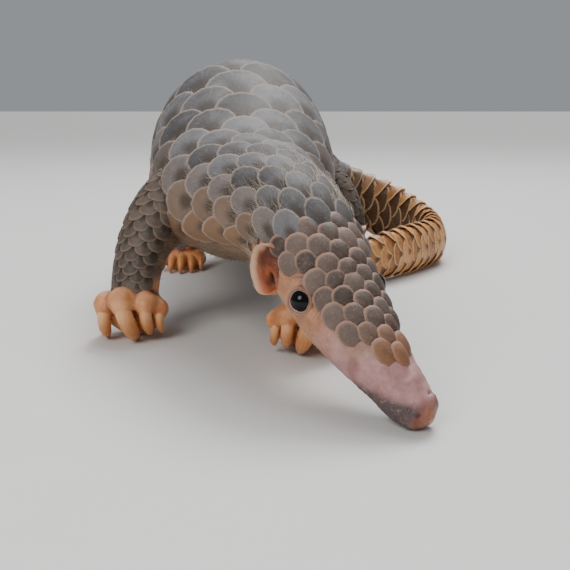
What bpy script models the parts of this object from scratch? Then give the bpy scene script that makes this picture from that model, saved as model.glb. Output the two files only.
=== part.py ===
"""A pangolin nosing along the ground, at life size, in metres.

The animal faces -Y, its left side is +X, and +Z is up. Every fleshy piece is a tube: a spine with a half width,
a height above it and a depth below it at each station. The horny scales are laid on a tube as a lattice of
staggered tiles, each raised towards its free end, so that it steps down onto the ones behind it.
"""

import math

import bmesh
import bpy
import numpy as np

# Gap between pieces that meet.
GAP = 0.0003

# How far a scale's free end stands off the skin.
TRUNK_SCALE = 0.0031
TAIL_SCALE = 0.0021
HEAD_SCALE = 0.0016
LEG_SCALE = 0.0018
EDGE_SCALE = 0.0034  # further reach of the scales on the two edges of the tail

# Share of a scale's rise by which its middle is domed, and the rise of the tallest scale of a coat.
DOME = 0.14
TALLEST = 1.15

# Columns of scales each side of the middle one, and rows from end to end.
TRUNK_LATTICE = (5, 13)
HEAD_LATTICE = (3, 8)
LEG_LATTICE = (2, 6)
LEG_SPREAD = 0.36  # quarter turns from one column to the next

# Length of a row of scales: a least length, and a share of the half width of the tube there.
TRUNK_ROW = (-0.0036, 0.67)
HEAD_ROW = (0.010, 0.0)
TAIL_ROW = (0.0035, 0.33)
LEG_ROW = (0.004, 0.45)

# Columns round the tail, and its rows.
TAIL_LATTICE = (8, 24)

# Rows at which the trunk and the tail are parted into lengths.
NECK_ROWS = 5
TAIL_PARTS = (0, 3, 6, 10, 14, 19, 24)

# Eyeball radius, and how far its centre lies inside the skin.
EYE_RADIUS = 0.0056
EYE_DEPTH = 0.0029

# The band of lids round an eye: how far out of the ball's centre, its radius, its half thickness and half height,
# and how much longer than high its opening is.
LID_OUT = 0.0026
LID_RADIUS = 0.0056
LID_THICK = 0.0012
LID_TALL = 0.0016
LID_STRETCH = 1.06

# Rings of the bare snout, as places down the spine from the tip of the nose.
SNOUT_RINGS = (0.0, 0.0009, 0.0022, 0.0045, 0.0080, 0.0125, 0.0180, 0.0225)

# Steps in which a spine is sampled.
SPINE_SAMPLES = 400


def unit(vector):
    """The vector at length one."""
    vector = np.asarray(vector, float)
    return vector / np.linalg.norm(vector)


def turned(vector, axis, angle):
    """The vector turned about a unit axis, by the right-hand rule."""
    return (
        vector * math.cos(angle)
        + np.cross(axis, vector) * math.sin(angle)
        + axis * np.dot(axis, vector) * (1 - math.cos(angle))
    )


def smooth_curve(knots, values, places):
    """A curve through the values at the knots, read at the given places."""
    slopes = np.gradient(values, knots, axis=0)
    index = np.clip(np.searchsorted(knots, places, side="right") - 1, 0, len(knots) - 2)
    span = (knots[index + 1] - knots[index])[:, None]
    t = (places - knots[index])[:, None] / span
    return (
        (2 * t**3 - 3 * t**2 + 1) * values[index]
        + (t**3 - 2 * t**2 + t) * span * slopes[index]
        + (3 * t**2 - 2 * t**3) * values[index + 1]
        + (t**3 - t**2) * span * slopes[index + 1]
    )


class Tube:
    """A spine with an oval section. A station is x, y, z, half width, height above, depth below, roll in degrees.

    Lengths in a station are millimetres. The section's top faces the direction `up` as nearly as it can.
    """

    def __init__(self, stations, up=(0.0, 0.0, 1.0)):
        rows = np.array(stations, float) * np.array([0.001] * 6 + [math.radians(1)])
        steps = np.linalg.norm(np.diff(rows[:, :3], axis=0), axis=1)
        knots = np.concatenate([[0], np.cumsum(steps)])
        places = np.unique(np.concatenate([knots, np.linspace(0, knots[-1], SPINE_SAMPLES)]))
        self.rows = smooth_curve(knots, rows, places)
        walked = np.linalg.norm(np.diff(self.rows[:, :3], axis=0), axis=1)
        self.reach = np.concatenate([[0], np.cumsum(walked)])
        self.stations = np.interp(knots, places, self.reach)
        self.length = self.reach[-1]
        self.headings = np.gradient(self.rows[:, :3], self.reach, axis=0)
        self.up = unit(up)

    def frame(self, s):
        """Centre, leftward, upward and backward directions, half width, height and depth at s down the spine."""
        row = np.array([np.interp(s, self.reach, self.rows[:, c]) for c in range(7)])
        heading = unit([np.interp(s, self.reach, self.headings[:, c]) for c in range(3)])
        upward = unit(self.up - heading * np.dot(self.up, heading))
        upward = turned(upward, heading, row[6])
        return row[:3], np.cross(heading, upward), upward, heading, row[3], row[4], row[5]

    def angle(self, s, quarters):
        """The angle from the top, for a distance round the section in quarters of it."""
        _, _, _, _, width, above, below = self.frame(s)
        q = (quarters + 2) % 4 - 2
        side, q = (1 if q >= 0 else -1), abs(q)
        height, start = (above, 0.0) if q <= 1 else (below, math.pi / 2)
        angles = np.linspace(start, start + math.pi / 2, 33)
        speeds = np.hypot(width * np.cos(angles), height * np.sin(angles))
        walked = np.concatenate([[0], np.cumsum((speeds[1:] + speeds[:-1]) / 2)])
        return side * float(np.interp(q - (1 if q > 1 else 0), walked / walked[-1], angles))

    def skin(self, s, quarters, lift=0.0):
        """A point of the skin, a number of quarter turns round from the top to the left, lifted off the skin."""
        return self.at_angle(s, self.angle(s, quarters), lift)

    def at_angle(self, s, angle, lift=0.0):
        centre, leftward, upward, _, width, above, below = self.frame(s)
        height = above if math.cos(angle) > 0 else below
        across, rise = math.sin(angle), math.cos(angle)
        outward = unit(leftward * across * height + upward * rise * width)
        return centre + leftward * width * across + upward * height * rise + outward * lift

    def rows_between(self, start, end, count, least, share):
        """Places of the rows from start to end, a row being as long as `least` and a share of the half width."""
        inside = np.linspace(start, end, 200)
        widths = np.interp(inside, self.reach, self.rows[:, 3])
        density = 1 / (least + share * widths)
        grown = np.concatenate([[0], np.cumsum((density[1:] + density[:-1]) / 2)])
        return lambda row: float(np.interp(row / count, grown / grown[-1], inside))


class Shell:
    """A mesh gathered face by face. Corners at the same place become one, and faces that collapse are left out."""

    def __init__(self):
        self.index = {}
        self.places = []
        self.faces = []

    def corner(self, place):
        key = tuple(np.round(np.asarray(place) * 1e7).astype(np.int64))
        if key not in self.index:
            self.index[key] = len(self.places)
            self.places.append(tuple(float(v) for v in place))
        return self.index[key]

    def face(self, *places):
        ids = [self.corner(place) for place in places]
        ids = [one for n, one in enumerate(ids) if one != ids[n - 1]]
        if len(ids) > 2:
            self.faces.append(ids)

    def fan(self, centre, ring, closed=True):
        count = len(ring)
        for n in range(count if closed else count - 1):
            self.face(centre, ring[n], ring[(n + 1) % count])

    def mesh(self, name):
        mesh = bpy.data.meshes.new(name)
        mesh.from_pydata(self.places, [], self.faces)
        mesh.update()
        return mesh


class Coat:
    """Scales on a tube from row 0 to row `rows`, `half` columns each side of the top, or `round_count` all round."""

    def __init__(self, tube, along, rows, spread, height, half=0, round_count=0, seed=1, edges=(), fade=0.0, cuts=(),
                 turn=lambda s: 0.0):
        self.tube, self.along, self.rows = tube, along, rows
        self.spread, self.height, self.half, self.round_count = spread, height, half, round_count
        self.edges, self.fade, self.cuts, self.turn = edges, fade, cuts, turn
        self.first = self.last = -1
        self.noise = np.random.RandomState(seed).uniform(-1, 1, (3, 40, 2 * rows + 2))

    def wrapped(self, column):
        return column % self.round_count if self.round_count else column

    def shifted(self, column, row):
        """Small irregular shifts of a lattice point, none at the ends, where the next piece meets this one."""
        whole = self.wrapped(column)
        parted = any(abs(row - cut) < 1e-6 for cut in (0, self.rows, *self.cuts))
        outermost = not self.round_count and abs(column) >= self.half
        if parted or outermost:
            return 0.0, 0.0, 1.0
        a, b, c = self.noise[:, int(whole) % 40, int(round(2 * row))]
        return 0.07 * a, 0.06 * b, 1 + 0.12 * c

    def spot(self, column, row, level):
        """The place at a column and a row, at a share of the scales' height."""
        s = self.along(min(max(row, 0), self.rows))
        if abs(row - self.first) < 1e-9:
            s += GAP / 2
        if abs(row - self.last) < 1e-9:
            s -= GAP / 2
        height = self.height * min(1.0, max(0.0, row) / self.fade) if self.fade else self.height
        lift = height * level
        whole = self.wrapped(column)
        for edge in self.edges:
            off = abs((whole - edge + self.round_count / 2) % self.round_count - self.round_count / 2)
            lift += EDGE_SCALE * max(0.0, level - 0.45) / 0.55 * max(0.0, 1 - off)
        return self.tube.skin(s, column * self.spread(s) + self.turn(s), lift)

    def point(self, column, row, level):
        """A lattice point: level 1 is the tip of the scale above, one half its neighbours' corners, 0 the skin."""
        dc, dr, tall = self.shifted(column, row)
        return self.spot(column + dc, row + dr, level * tall)

    def bulge(self, column, row, side, level):
        """The rounding of a tip's free edge towards one side, above (level 1) or at its foot (level 0)."""
        dc, dr, tall = self.shifted(column, row)
        rise = 0.79 if level else 0.22
        return self.spot(column + dc + side * 0.60, row + dr - 0.15, rise * tall)

    def rim(self, row, part, level):
        """The scalloped outer edge of an outermost scale whose tip is at this row."""
        side = 1 if part > 0 else -1
        out, back, rise = ((0.42, 0.28, 0.86), (0.50, 0.64, 0.45))[abs(part) - 1]
        return self.spot(side * (self.half + out), row - back, rise if level else 0.0)

    def columns(self):
        if self.round_count:
            return range(self.round_count)
        return range(-self.half, self.half + 1)

    def between(self, column):
        """Whether a column's scales end half way between the rows. Those of the outermost columns don't."""
        return (column + self.half) % 2 == 1

    def tile(self, shell, column, tip, front=True, back=True):
        """The top of one scale and the steps down from its free edges."""
        outer = 0 if self.round_count or abs(column) < self.half else (1 if column > 0 else -1)
        middle = self.spot(column, tip - 0.5, 0.5 + DOME)
        end = self.point(column, tip, 1)
        root = self.point(column, tip - 1, 0)
        right = self.point(column + 1, tip - 0.5, 0.5)
        left = self.point(column - 1, tip - 0.5, 0.5)
        low_right = self.bulge(column + 1, tip - 0.5, -1, 0)
        low_left = self.bulge(column - 1, tip - 0.5, 1, 0)
        if front:
            if outer <= 0:
                shell.fan(middle, [root, low_right, right], closed=False)
            if outer >= 0:
                shell.fan(middle, [left, low_left, root], closed=False)
        if back:
            if outer <= 0:
                high = self.bulge(column, tip, 1, 1)
                shell.fan(middle, [right, high, end], closed=False)
            if outer >= 0:
                high = self.bulge(column, tip, -1, 1)
                shell.fan(middle, [end, high, left], closed=False)
        if outer:
            near, far = self.rim(tip, outer, 1), self.rim(tip, 2 * outer, 1)
            ring = [root, far, near, end]
            shell.fan(middle, ring if outer > 0 else ring[::-1], closed=False)
        if back:
            for side in (1, -1):
                if side != outer:
                    self.step(shell, column, tip, side)
        if outer:
            self.outer_step(shell, tip, outer)

    def step(self, shell, column, tip, side):
        end, foot = self.point(column, tip, 1), self.point(column, tip, 0.5)
        high, low = self.bulge(column, tip, side, 1), self.bulge(column, tip, side, 0)
        corner = self.point(column + side, tip - 0.5, 0.5)
        skin = self.point(column + side, tip - 0.5, 0)
        for quad in ((end, high, low, foot), (high, corner, skin, low)):
            shell.face(*(quad if side > 0 else quad[::-1]))

    def outer_step(self, shell, tip, outer):
        column = outer * self.half
        end, foot, skin = (self.point(column, tip, level) for level in (1, 0.5, 0))
        high_near, high_far = self.rim(tip, outer, 1), self.rim(tip, 2 * outer, 1)
        low_near, low_far = self.rim(tip, outer, 0), self.rim(tip, 2 * outer, 0)
        root = self.point(column, tip - 1, 0)
        for ring in ((end, high_near, low_near, skin, foot), (high_near, high_far, low_far, low_near),
                     (high_far, root, low_far)):
            shell.face(*(ring if outer > 0 else ring[::-1]))

    def ring(self, row):
        """The outline of the section at a whole row, over the scaled part of it."""
        out = []
        for column in self.columns():
            inside = self.between(column)
            out.append(self.spot(column, row, 0.5 + DOME) if inside else self.point(column, row, 0.5))
        if not self.round_count:
            out = [self.point(-self.half, row, 0)] + out + [self.point(self.half, row, 0)]
        return out

    def edge(self, outer, first, last):
        """The foot of the outermost scales, front to back, as (row, place)."""
        out = []
        for tip in range(first + 1, last + 1):
            out.append((tip - 1, self.point(outer * self.half, tip - 1, 0)))
            out.append((tip - 0.64, self.rim(tip, 2 * outer, 0)))
            out.append((tip - 0.28, self.rim(tip, outer, 0)))
        out.append((last, self.point(outer * self.half, last, 0)))
        return out

    def belly(self, first, last, count):
        """The bare skin between the outermost scales: rows of places, from the left edge round to the right one."""
        left, right = self.edge(1, first, last), self.edge(-1, first, last)
        rows = []
        for (row, start), (_, end) in zip(left, right):
            s = self.along(row)
            s += GAP / 2 if row == first and self.first == first else 0
            s -= GAP / 2 if row == last and self.last == last else 0
            from_q = (self.half + 0.55) * self.spread(s)
            turns = np.linspace(from_q, 4 - from_q, count + 1)[1:-1] + self.turn(s)
            rows.append([start] + [self.tube.skin(s, q) for q in turns] + [end])
        return rows

    def build(self, shell, first, last, belly=5):
        """Adds the scales and the bare skin from one whole row to another. Returns the outlines at both ends."""
        self.first, self.last = first, last
        for column in self.columns():
            for tip in range(first + 1, last + 1):
                if not self.between(column):
                    self.tile(shell, column, tip)
                    continue
                self.tile(shell, column, tip - 0.5, front=tip - 1 > first, back=True)
                if tip == last:
                    self.tile(shell, column, tip + 0.5, front=True, back=False)
        ends = [self.ring(first), self.ring(last)]
        if not self.round_count:
            rows = self.belly(first, last, belly)
            for a, b in zip(rows, rows[1:]):
                for n in range(len(a) - 1):
                    shell.face(a[n], a[n + 1], b[n + 1], b[n])
            ends[0] = ends[0] + rows[0][1:-1]
            ends[1] = ends[1] + rows[-1][1:-1]
        return ends


def cap(shell, ring, centre, front):
    """Closes an end, its outline running from the top to the left."""
    shell.fan(centre, ring[::-1] if front else ring)


def loft(shell, rings):
    """Skin through rings of equally many places."""
    for a, b in zip(rings, rings[1:]):
        for n in range(len(a)):
            m = (n + 1) % len(a)
            shell.face(a[n], a[m], b[m], b[n])


def outward(mesh):
    """The mesh as triangles, its faces turned outwards."""
    work = bmesh.new()
    work.from_mesh(mesh)
    bmesh.ops.triangulate(work, faces=work.faces[:])
    if work.calc_volume(signed=True) < 0:
        bmesh.ops.reverse_faces(work, faces=work.faces[:])
    work.to_mesh(mesh)
    work.free()
    return mesh


BODY = (
    (53.5, 262.5, 4.5, 1.5, 1.5, 1.5, -11),
    (52.0, 264.0, 5.3, 6.0, 5.2, 5.2, -11),
    (48.0, 267.6, 8.3, 8.8, 7.8, 8.8, -11),
    (40.2, 276.2, 16.8, 11.2, 10.4, 11.8, -11),
    (30.5, 288.0, 27.0, 14.8, 13.8, 15.0, -11),
    (21.2, 302.8, 39.6, 18.6, 17.4, 18.2, -11),
    (14.0, 315.0, 52.0, 21.0, 19.6, 19.6, -11),
    (6.5, 329.0, 63.5, 22.0, 20.6, 20.8, -9),
    (-4.0, 350.0, 70.5, 26.5, 22.5, 24.5, -5),
    (-13.0, 375.0, 71.5, 33.5, 26.5, 29.0, -2),
    (-20.0, 402.0, 71.0, 42.0, 32.0, 34.0, 0),
    (-23.5, 440.0, 74.0, 50.0, 41.5, 41.0, 0),
    (-27.0, 488.0, 82.0, 54.5, 52.0, 51.5, -3),
    (-29.5, 530.0, 87.5, 55.5, 58.0, 57.0, -5),
    (-26.0, 573.0, 86.0, 53.0, 56.0, 56.0, -6),
    (-14.5, 610.0, 79.0, 48.0, 49.5, 48.5, -8),
    (0.5, 638.0, 66.5, 40.5, 37.0, 36.0, -15),
    (27.5, 658.0, 49.5, 32.0, 24.5, 22.5, -34),
    (58.0, 667.0, 39.5, 27.0, 16.0, 13.5, -58),
    (87.0, 656.0, 31.0, 22.5, 12.0, 9.6, -76),
    (106.0, 635.0, 24.5, 18.5, 10.2, 8.0, -84),
    (115.0, 608.0, 19.8, 15.6, 9.2, 7.2, -85),
    (112.5, 582.0, 18.8, 14.8, 8.6, 6.8, -85),
    (99.0, 559.0, 18.3, 14.3, 8.2, 6.4, -85),
    (81.0, 536.0, 18.0, 13.9, 7.8, 6.0, -85),
    (63.0, 518.5, 16.8, 12.6, 7.0, 5.4, -85),
    (46.0, 509.0, 13.8, 10.0, 5.8, 4.6, -85),
    (31.0, 505.0, 10.4, 6.8, 4.4, 3.6, -85),
    (22.0, 504.0, 8.0, 3.6, 2.6, 2.2, -85),
)

# Stations of the body at the rear of the head and at the root of the tail.
NAPE, ROOT = 7, 17

# Place down the spine where the scales of the head begin.
FIRST_SCALE = 0.0247

# Quarter turns from one column of scales to the next, at places down the spine.
HEAD_SPREAD = ((0.025, 0.165), (0.045, 0.195), (0.062, 0.180), (0.075, 0.185), (0.088, 0.200), (0.101, 0.215))
TRUNK_SPREAD = ((0.101, 0.205), (0.125, 0.225), (0.170, 0.250), (0.240, 0.270), (0.420, 0.270), (0.480, 0.235))

# The head's features lie this many quarter turns round to the left of the spine's top line. The crown's scales
# come back to that line over this length before the nape.
HEAD_TURN = 0.045
TURN_FADE = 0.03

# Each limb's stations run down from inside the body, its section's top facing outwards.
FORELEG_RIGHT = (
    (-36.0, 424.0, 76.0, 22.0, 20.0, 18.0, 0),
    (-51.0, 417.0, 69.0, 22.0, 20.5, 18.0, 0),
    (-63.0, 408.0, 59.5, 19.5, 18.0, 16.0, 0),
    (-71.0, 399.0, 48.0, 16.0, 14.5, 12.5, 0),
    (-75.5, 392.0, 34.5, 13.2, 12.0, 11.5, 0),
    (-77.0, 387.5, 21.0, 12.5, 11.0, 11.0, 0),
    (-77.5, 385.5, 12.0, 10.5, 9.5, 9.5, 0),
)
FORELEG_LEFT = (
    (2.0, 414.0, 71.0, 21.0, 20.0, 18.0, 0),
    (12.0, 405.0, 62.0, 20.5, 19.0, 17.0, 0),
    (18.0, 394.0, 52.0, 18.0, 16.0, 15.0, 0),
    (18.0, 382.0, 42.0, 15.0, 13.0, 12.5, 0),
    (14.0, 373.0, 32.0, 13.0, 12.0, 11.5, 0),
    (10.5, 366.5, 21.0, 12.5, 11.0, 11.0, 0),
    (9.0, 363.0, 12.0, 10.5, 9.5, 9.5, 0),
)
HINDLEG_RIGHT = (
    (-46.0, 592.0, 78.0, 26.0, 16.0, 16.0, 0),
    (-62.0, 586.0, 66.0, 26.0, 17.0, 17.0, 0),
    (-70.0, 578.0, 51.0, 22.5, 15.0, 15.0, 0),
    (-74.0, 571.0, 36.0, 18.0, 13.0, 13.0, 0),
    (-75.0, 568.0, 23.0, 15.5, 12.0, 12.0, 0),
    (-75.0, 567.0, 12.0, 13.5, 11.0, 11.0, 0),
)
HINDLEG_LEFT = (
    (3.0, 588.0, 78.0, 26.0, 16.0, 16.0, 0),
    (22.0, 581.0, 66.0, 26.0, 17.0, 17.0, 0),
    (37.0, 572.0, 51.0, 22.5, 15.0, 15.0, 0),
    (44.0, 564.0, 36.0, 18.0, 13.0, 13.0, 0),
    (45.0, 561.0, 23.0, 15.5, 12.0, 12.0, 0),
    (45.0, 560.0, 12.0, 13.5, 11.0, 11.0, 0),
)

# A limb: its stations, the way its outer side faces, and which way its inner digit lies.
LIMBS = (
    ("fore", "right", FORELEG_RIGHT, (-0.93, -0.36, 0.0), 1),
    ("fore", "left", FORELEG_LEFT, (0.93, -0.36, 0.0), -1),
    ("hind", "right", HINDLEG_RIGHT, (-1.0, -0.1, 0.0), 1),
    ("hind", "left", HINDLEG_LEFT, (1.0, -0.1, 0.0), -1),
)

# The sole and back of a foot: ahead of the ankle, height, half width, height above, depth below.
FORE_PALM = (
    (-16.5, 9.0, 2.0, 2.0, 2.0),
    (-14.5, 9.5, 8.5, 7.5, 8.0),
    (-8.0, 11.8, 13.0, 11.5, 12.3),
    (-1.0, 14.0, 16.0, 11.5, 12.0),
    (5.5, 17.5, 16.0, 8.5, 8.5),
    (9.0, 19.0, 13.0, 5.0, 5.0),
    (10.0, 19.2, 4.0, 2.0, 2.0),
)
HIND_PALM = (
    (-18.5, 7.0, 2.0, 2.0, 2.0),
    (-16.5, 7.5, 8.0, 6.0, 7.0),
    (-8.0, 9.5, 13.0, 9.0, 10.0),
    (4.0, 9.5, 15.5, 9.0, 10.0),
    (11.0, 8.5, 15.5, 7.0, 9.0),
    (14.0, 8.0, 12.5, 5.0, 6.5),
    (15.0, 7.5, 4.0, 2.0, 2.5),
)

# Digits from the inner one out: offset towards the inside and ahead, of the knuckle with its height, then of the
# claw's tip with its height, and the claw's half width.
FORE_DIGITS = (
    (13.5, 8.0, 15.0, 14.5, 4.0, 3.0, 2.3),
    (7.5, 12.0, 19.5, 8.5, 4.0, 2.0, 3.2),
    (-4.0, 14.0, 21.5, 2.2, 7.0, 0.2, 4.2),
    (-13.5, 9.0, 18.5, -14.0, 2.0, 0.2, 3.4),
    (-16.0, 1.5, 12.0, -18.0, -5.0, 1.4, 2.2),
)
HIND_DIGITS = (
    (12.0, 6.5, 8.0, 14.0, 18.0, 0.6, 2.1),
    (6.5, 10.5, 9.0, 7.5, 24.0, 0.2, 2.7),
    (0.0, 12.0, 9.5, 0.0, 27.0, 0.2, 2.9),
    (-6.5, 10.5, 9.0, -7.5, 24.0, 0.2, 2.7),
    (-12.0, 6.5, 8.0, -14.0, 18.0, 0.6, 2.1),
)

# A digit runs from inside the foot over its knuckle, and its claw bows forward on a fore foot and up on a hind one.
# The claw's stations lie at a share of the way from knuckle to tip, pushed out by a share of the bow, and its
# section there is wide and deep by these shares of the claw's half width. The flesh adds to that in millimetres.
CLAW_BOW = 0.30
CLAW_WAY = ((0.22, 0.62), (0.58, 0.85), (0.84, 0.45), (1.0, 0.0))
CLAW_SECTION = ((1.20, 1.12), (1.06, 0.98), (0.78, 0.72), (0.30, 0.26))
CLAW_LEAD = {"fore": (0.0, -1.0, 0.1), "hind": (0.0, -0.2, 0.85)}
TIP_RISE = 0.7
FLESH = 2.4

# Where the eye and the ear lie: place down the spine, and quarter turns from the top of the head.
EYE_AT = (0.0650, 0.875)
EAR_AT = (0.0837, 0.985)

# The ear is a band of skin along an oval that leans forward at its foot, open towards the eye: half sizes of the
# oval, its lean, and along it degrees round, height and half thickness in millimetres.
EAR_SIZE = (0.0064, 0.0106)
EAR_LEAN = math.radians(23.6)
EAR_SUNK = 0.0007
EAR_BAND = (
    (48, 1.3, 0.8), (80, 3.2, 1.0), (115, 4.9, 1.1), (150, 5.8, 1.1), (186, 6.0, 1.1), (222, 5.2, 1.1),
    (262, 3.4, 1.0), (300, 1.3, 0.8),
)

# The mouth is a groove under the snout: places down the spine and quarter turns from the top, back to middle.
MOUTH = ((0.0270, 1.32), (0.0200, 1.42), (0.0130, 1.50), (0.0085, 1.66), (0.0066, 2.00))
MOUTH_RADIUS = 0.00055
NOSTRIL_AT = (0.0035, 0.62)
NOSTRIL_RADIUS = 0.0013

BACK_COLOUR = (0.235, 0.205, 0.180)
HEAD_COLOUR = (0.255, 0.205, 0.170)
TAIL_COLOUR = (0.420, 0.270, 0.170)
LEG_COLOUR = (0.180, 0.150, 0.130)
SKIN_COLOUR = (0.560, 0.300, 0.190)
CLAW_COLOUR = (0.620, 0.360, 0.220)
EYE_COLOUR = (0.010, 0.010, 0.014)


def plain(tube, start, end, rings, columns, lift=0.0, ease=False):
    """A closed smooth mesh along a tube. With `ease`, rings gather towards both ends."""
    shares = np.linspace(0, 1, rings)
    if ease:
        shares = (1 - np.cos(shares * math.pi)) / 2
    shell = Shell()
    outlines = []
    for share in shares:
        s = start + (end - start) * share
        outlines.append([tube.at_angle(s, a, lift) for a in np.arange(columns) * 2 * math.pi / columns])
    loft(shell, outlines)
    for outline, s, front in ((outlines[0], start, True), (outlines[-1], end, False)):
        centre, _, _, heading, *_ = tube.frame(s)
        cap(shell, outline, centre + heading * lift * (-1 if front else 1), front)
    return shell


def new_object(mesh):
    made = bpy.data.objects.new("helper", mesh)
    bpy.context.scene.collection.objects.link(made)
    return made


def object_of(shell, ground=False):
    """A closed mesh object from a shell, flattened at the floor where it rests on it."""
    mesh = outward(shell.mesh("helper"))
    if ground:
        for vertex in mesh.vertices:
            vertex.co.z = max(vertex.co.z, 0.0)
    return new_object(mesh)


def discard(obj):
    mesh = obj.data
    bpy.data.objects.remove(obj)
    bpy.data.meshes.remove(mesh)


def applied(obj):
    """The object's mesh with its modifiers worked in."""
    bpy.context.view_layer.update()
    graph = bpy.context.evaluated_depsgraph_get()
    mesh = bpy.data.meshes.new_from_object(obj.evaluated_get(graph))
    obj.modifiers.clear()
    old, obj.data = obj.data, mesh
    bpy.data.meshes.remove(old)
    return obj


def subtract(obj, cutter):
    """Cuts the cutter's volume from the object."""
    cut = obj.modifiers.new("cut", "BOOLEAN")
    cut.object, cut.operation, cut.solver = cutter, "DIFFERENCE", "EXACT"
    applied(obj)
    discard(cutter)


def union(pieces):
    """One object from overlapping closed ones."""
    first, rest = pieces[0], pieces[1:]
    group = bpy.data.collections.new("group")
    bpy.context.scene.collection.children.link(group)
    for piece in rest:
        group.objects.link(piece)
    join = first.modifiers.new("join", "BOOLEAN")
    join.operand_type, join.collection = "COLLECTION", group
    join.operation, join.solver = "UNION", "EXACT"
    applied(first)
    for piece in rest:
        discard(piece)
    bpy.data.collections.remove(group)
    return first


def keep_largest(obj):
    """Leaves the object's largest closed surface, as triangles facing outwards."""
    work = bmesh.new()
    work.from_mesh(obj.data)
    bmesh.ops.triangulate(work, faces=work.faces[:])
    seen, islands = set(), []
    for face in work.faces:
        if face in seen:
            continue
        island, front = [], [face]
        seen.add(face)
        while front:
            here = front.pop()
            island.append(here)
            for edge in here.edges:
                for other in edge.link_faces:
                    if other not in seen:
                        seen.add(other)
                        front.append(other)
        islands.append(island)
    islands.sort(key=len)
    spare = [face for island in islands[:-1] for face in island]
    bmesh.ops.delete(work, geom=spare, context="FACES")
    work.to_mesh(obj.data)
    work.free()
    outward(obj.data)


def finish_node(obj, name, colour, rough=0.6):
    """Names a node and gives it a material of its own."""
    keep_largest(obj)
    material = bpy.data.materials.new(name)
    material.use_nodes = True
    shader = material.node_tree.nodes["Principled BSDF"]
    shader.inputs["Base Color"].default_value = (*colour, 1)
    shader.inputs["Roughness"].default_value = rough
    obj.data.materials.clear()
    obj.data.materials.append(material)
    obj.name = obj.data.name = name
    return obj


def coat_part(coat, first, last, belly, tip=None):
    """A closed length of a scaled tube, from one whole row to another. `tip` rounds its rear end."""
    shell = Shell()
    front, back = coat.build(shell, first, last, belly)
    start = coat.along(first) + GAP / 2
    cap(shell, front, coat.tube.frame(start)[0], True)
    centre, _, _, heading, *_ = coat.tube.frame(coat.along(last) - GAP / 2)
    cap(shell, back, centre + heading * (tip or 0.0), False)
    return shell


def ball(centre, radius, segments=16):
    mesh = bpy.data.meshes.new("helper")
    work = bmesh.new()
    bmesh.ops.create_uvsphere(work, u_segments=segments, v_segments=segments // 2 + 2, radius=radius)
    bmesh.ops.translate(work, verts=work.verts[:], vec=tuple(centre))
    work.to_mesh(mesh)
    work.free()
    return new_object(mesh)


def spread_of(pairs):
    places, turns = zip(*pairs)
    return lambda s: float(np.interp(s, places, turns))


def crown_turn(nape):
    """How far round the crown's middle line lies at a place down the spine, fading out before the nape."""
    return lambda s: HEAD_TURN * float(np.clip((nape - s) / TURN_FADE, 0, 1))


def jacket(tube, start, end, covers, columns=40, rings=60):
    """A smooth closed mesh just outside a length of the body: `covers` gives the lift at a place and a turn."""
    shell = Shell()
    outlines = []
    for s in np.linspace(start, end, rings):
        turns = np.linspace(-2, 2, columns + 1)[:-1]
        outlines.append([tube.skin(s, q, covers(s, q)) for q in turns])
    loft(shell, outlines)
    cap(shell, outlines[0], tube.frame(start)[0], True)
    cap(shell, outlines[-1], tube.frame(end)[0], False)
    return object_of(shell)


def make_body():
    """Head, neck, torso and tail, as lengths of one tube that meet at flat sections."""
    tube = Tube(BODY)
    nape, root = tube.stations[NAPE], tube.stations[ROOT]
    head_spread, trunk_spread = spread_of(HEAD_SPREAD), spread_of(TRUNK_SPREAD)

    half, rows = HEAD_LATTICE
    along = tube.rows_between(FIRST_SCALE, nape, rows, *HEAD_ROW)
    coat = Coat(tube, along, rows, head_spread, HEAD_SCALE, half=half, seed=3, fade=1.0, turn=crown_turn(nape))
    shell = Shell()
    front, back = coat.build(shell, 0, rows, 6)
    front = front[1:2 * half + 2] + front[2 * half + 3:]
    turns = [c * head_spread(FIRST_SCALE) for c in coat.columns()]
    from_q = (half + 0.55) * head_spread(FIRST_SCALE)
    turns += list(np.linspace(from_q, 4 - from_q, 7)[1:-1])
    outlines = []
    for s in SNOUT_RINGS:
        outlines.append([tube.skin(s, q + HEAD_TURN) for q in turns])
    outlines.append(front)
    loft(shell, outlines)
    cap(shell, outlines[0], tube.frame(0)[0], True)
    cap(shell, back, tube.frame(nape - GAP / 2)[0], False)
    head = object_of(shell, ground=True)

    half, rows = TRUNK_LATTICE
    along = tube.rows_between(nape, root, rows, *TRUNK_ROW)
    coat = Coat(tube, along, rows, trunk_spread, TRUNK_SCALE, half=half, seed=5, cuts=(NECK_ROWS,))
    neck = object_of(coat_part(coat, 0, NECK_ROWS, 5))
    torso = object_of(coat_part(coat, NECK_ROWS, rows, 5))

    count, rows = TAIL_LATTICE
    along = tube.rows_between(root, tube.length, rows, *TAIL_ROW)
    coat = Coat(tube, along, rows, lambda s: 4 / count, TAIL_SCALE, round_count=count, seed=7,
                edges=(count // 4, 3 * count // 4), cuts=TAIL_PARTS)
    tail = []
    for first, last in zip(TAIL_PARTS, TAIL_PARTS[1:]):
        tip = 0.0025 if last == rows else None
        tail.append(object_of(coat_part(coat, first, last, 0, tip), ground=True))
    return tube, head, neck, torso, tail


def head_spot(tube, at, side, depth):
    """A frame on the side of the head: a place under the skin, and outward, forward and downward directions."""
    s, q = at
    skin, inside = tube.skin(s, HEAD_TURN + side * q), tube.skin(s, HEAD_TURN + side * q, -depth)
    outward_way = unit(skin - inside)
    forward = -tube.frame(s)[3]
    return inside, outward_way, forward, unit(np.cross(outward_way, forward)) * side


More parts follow.
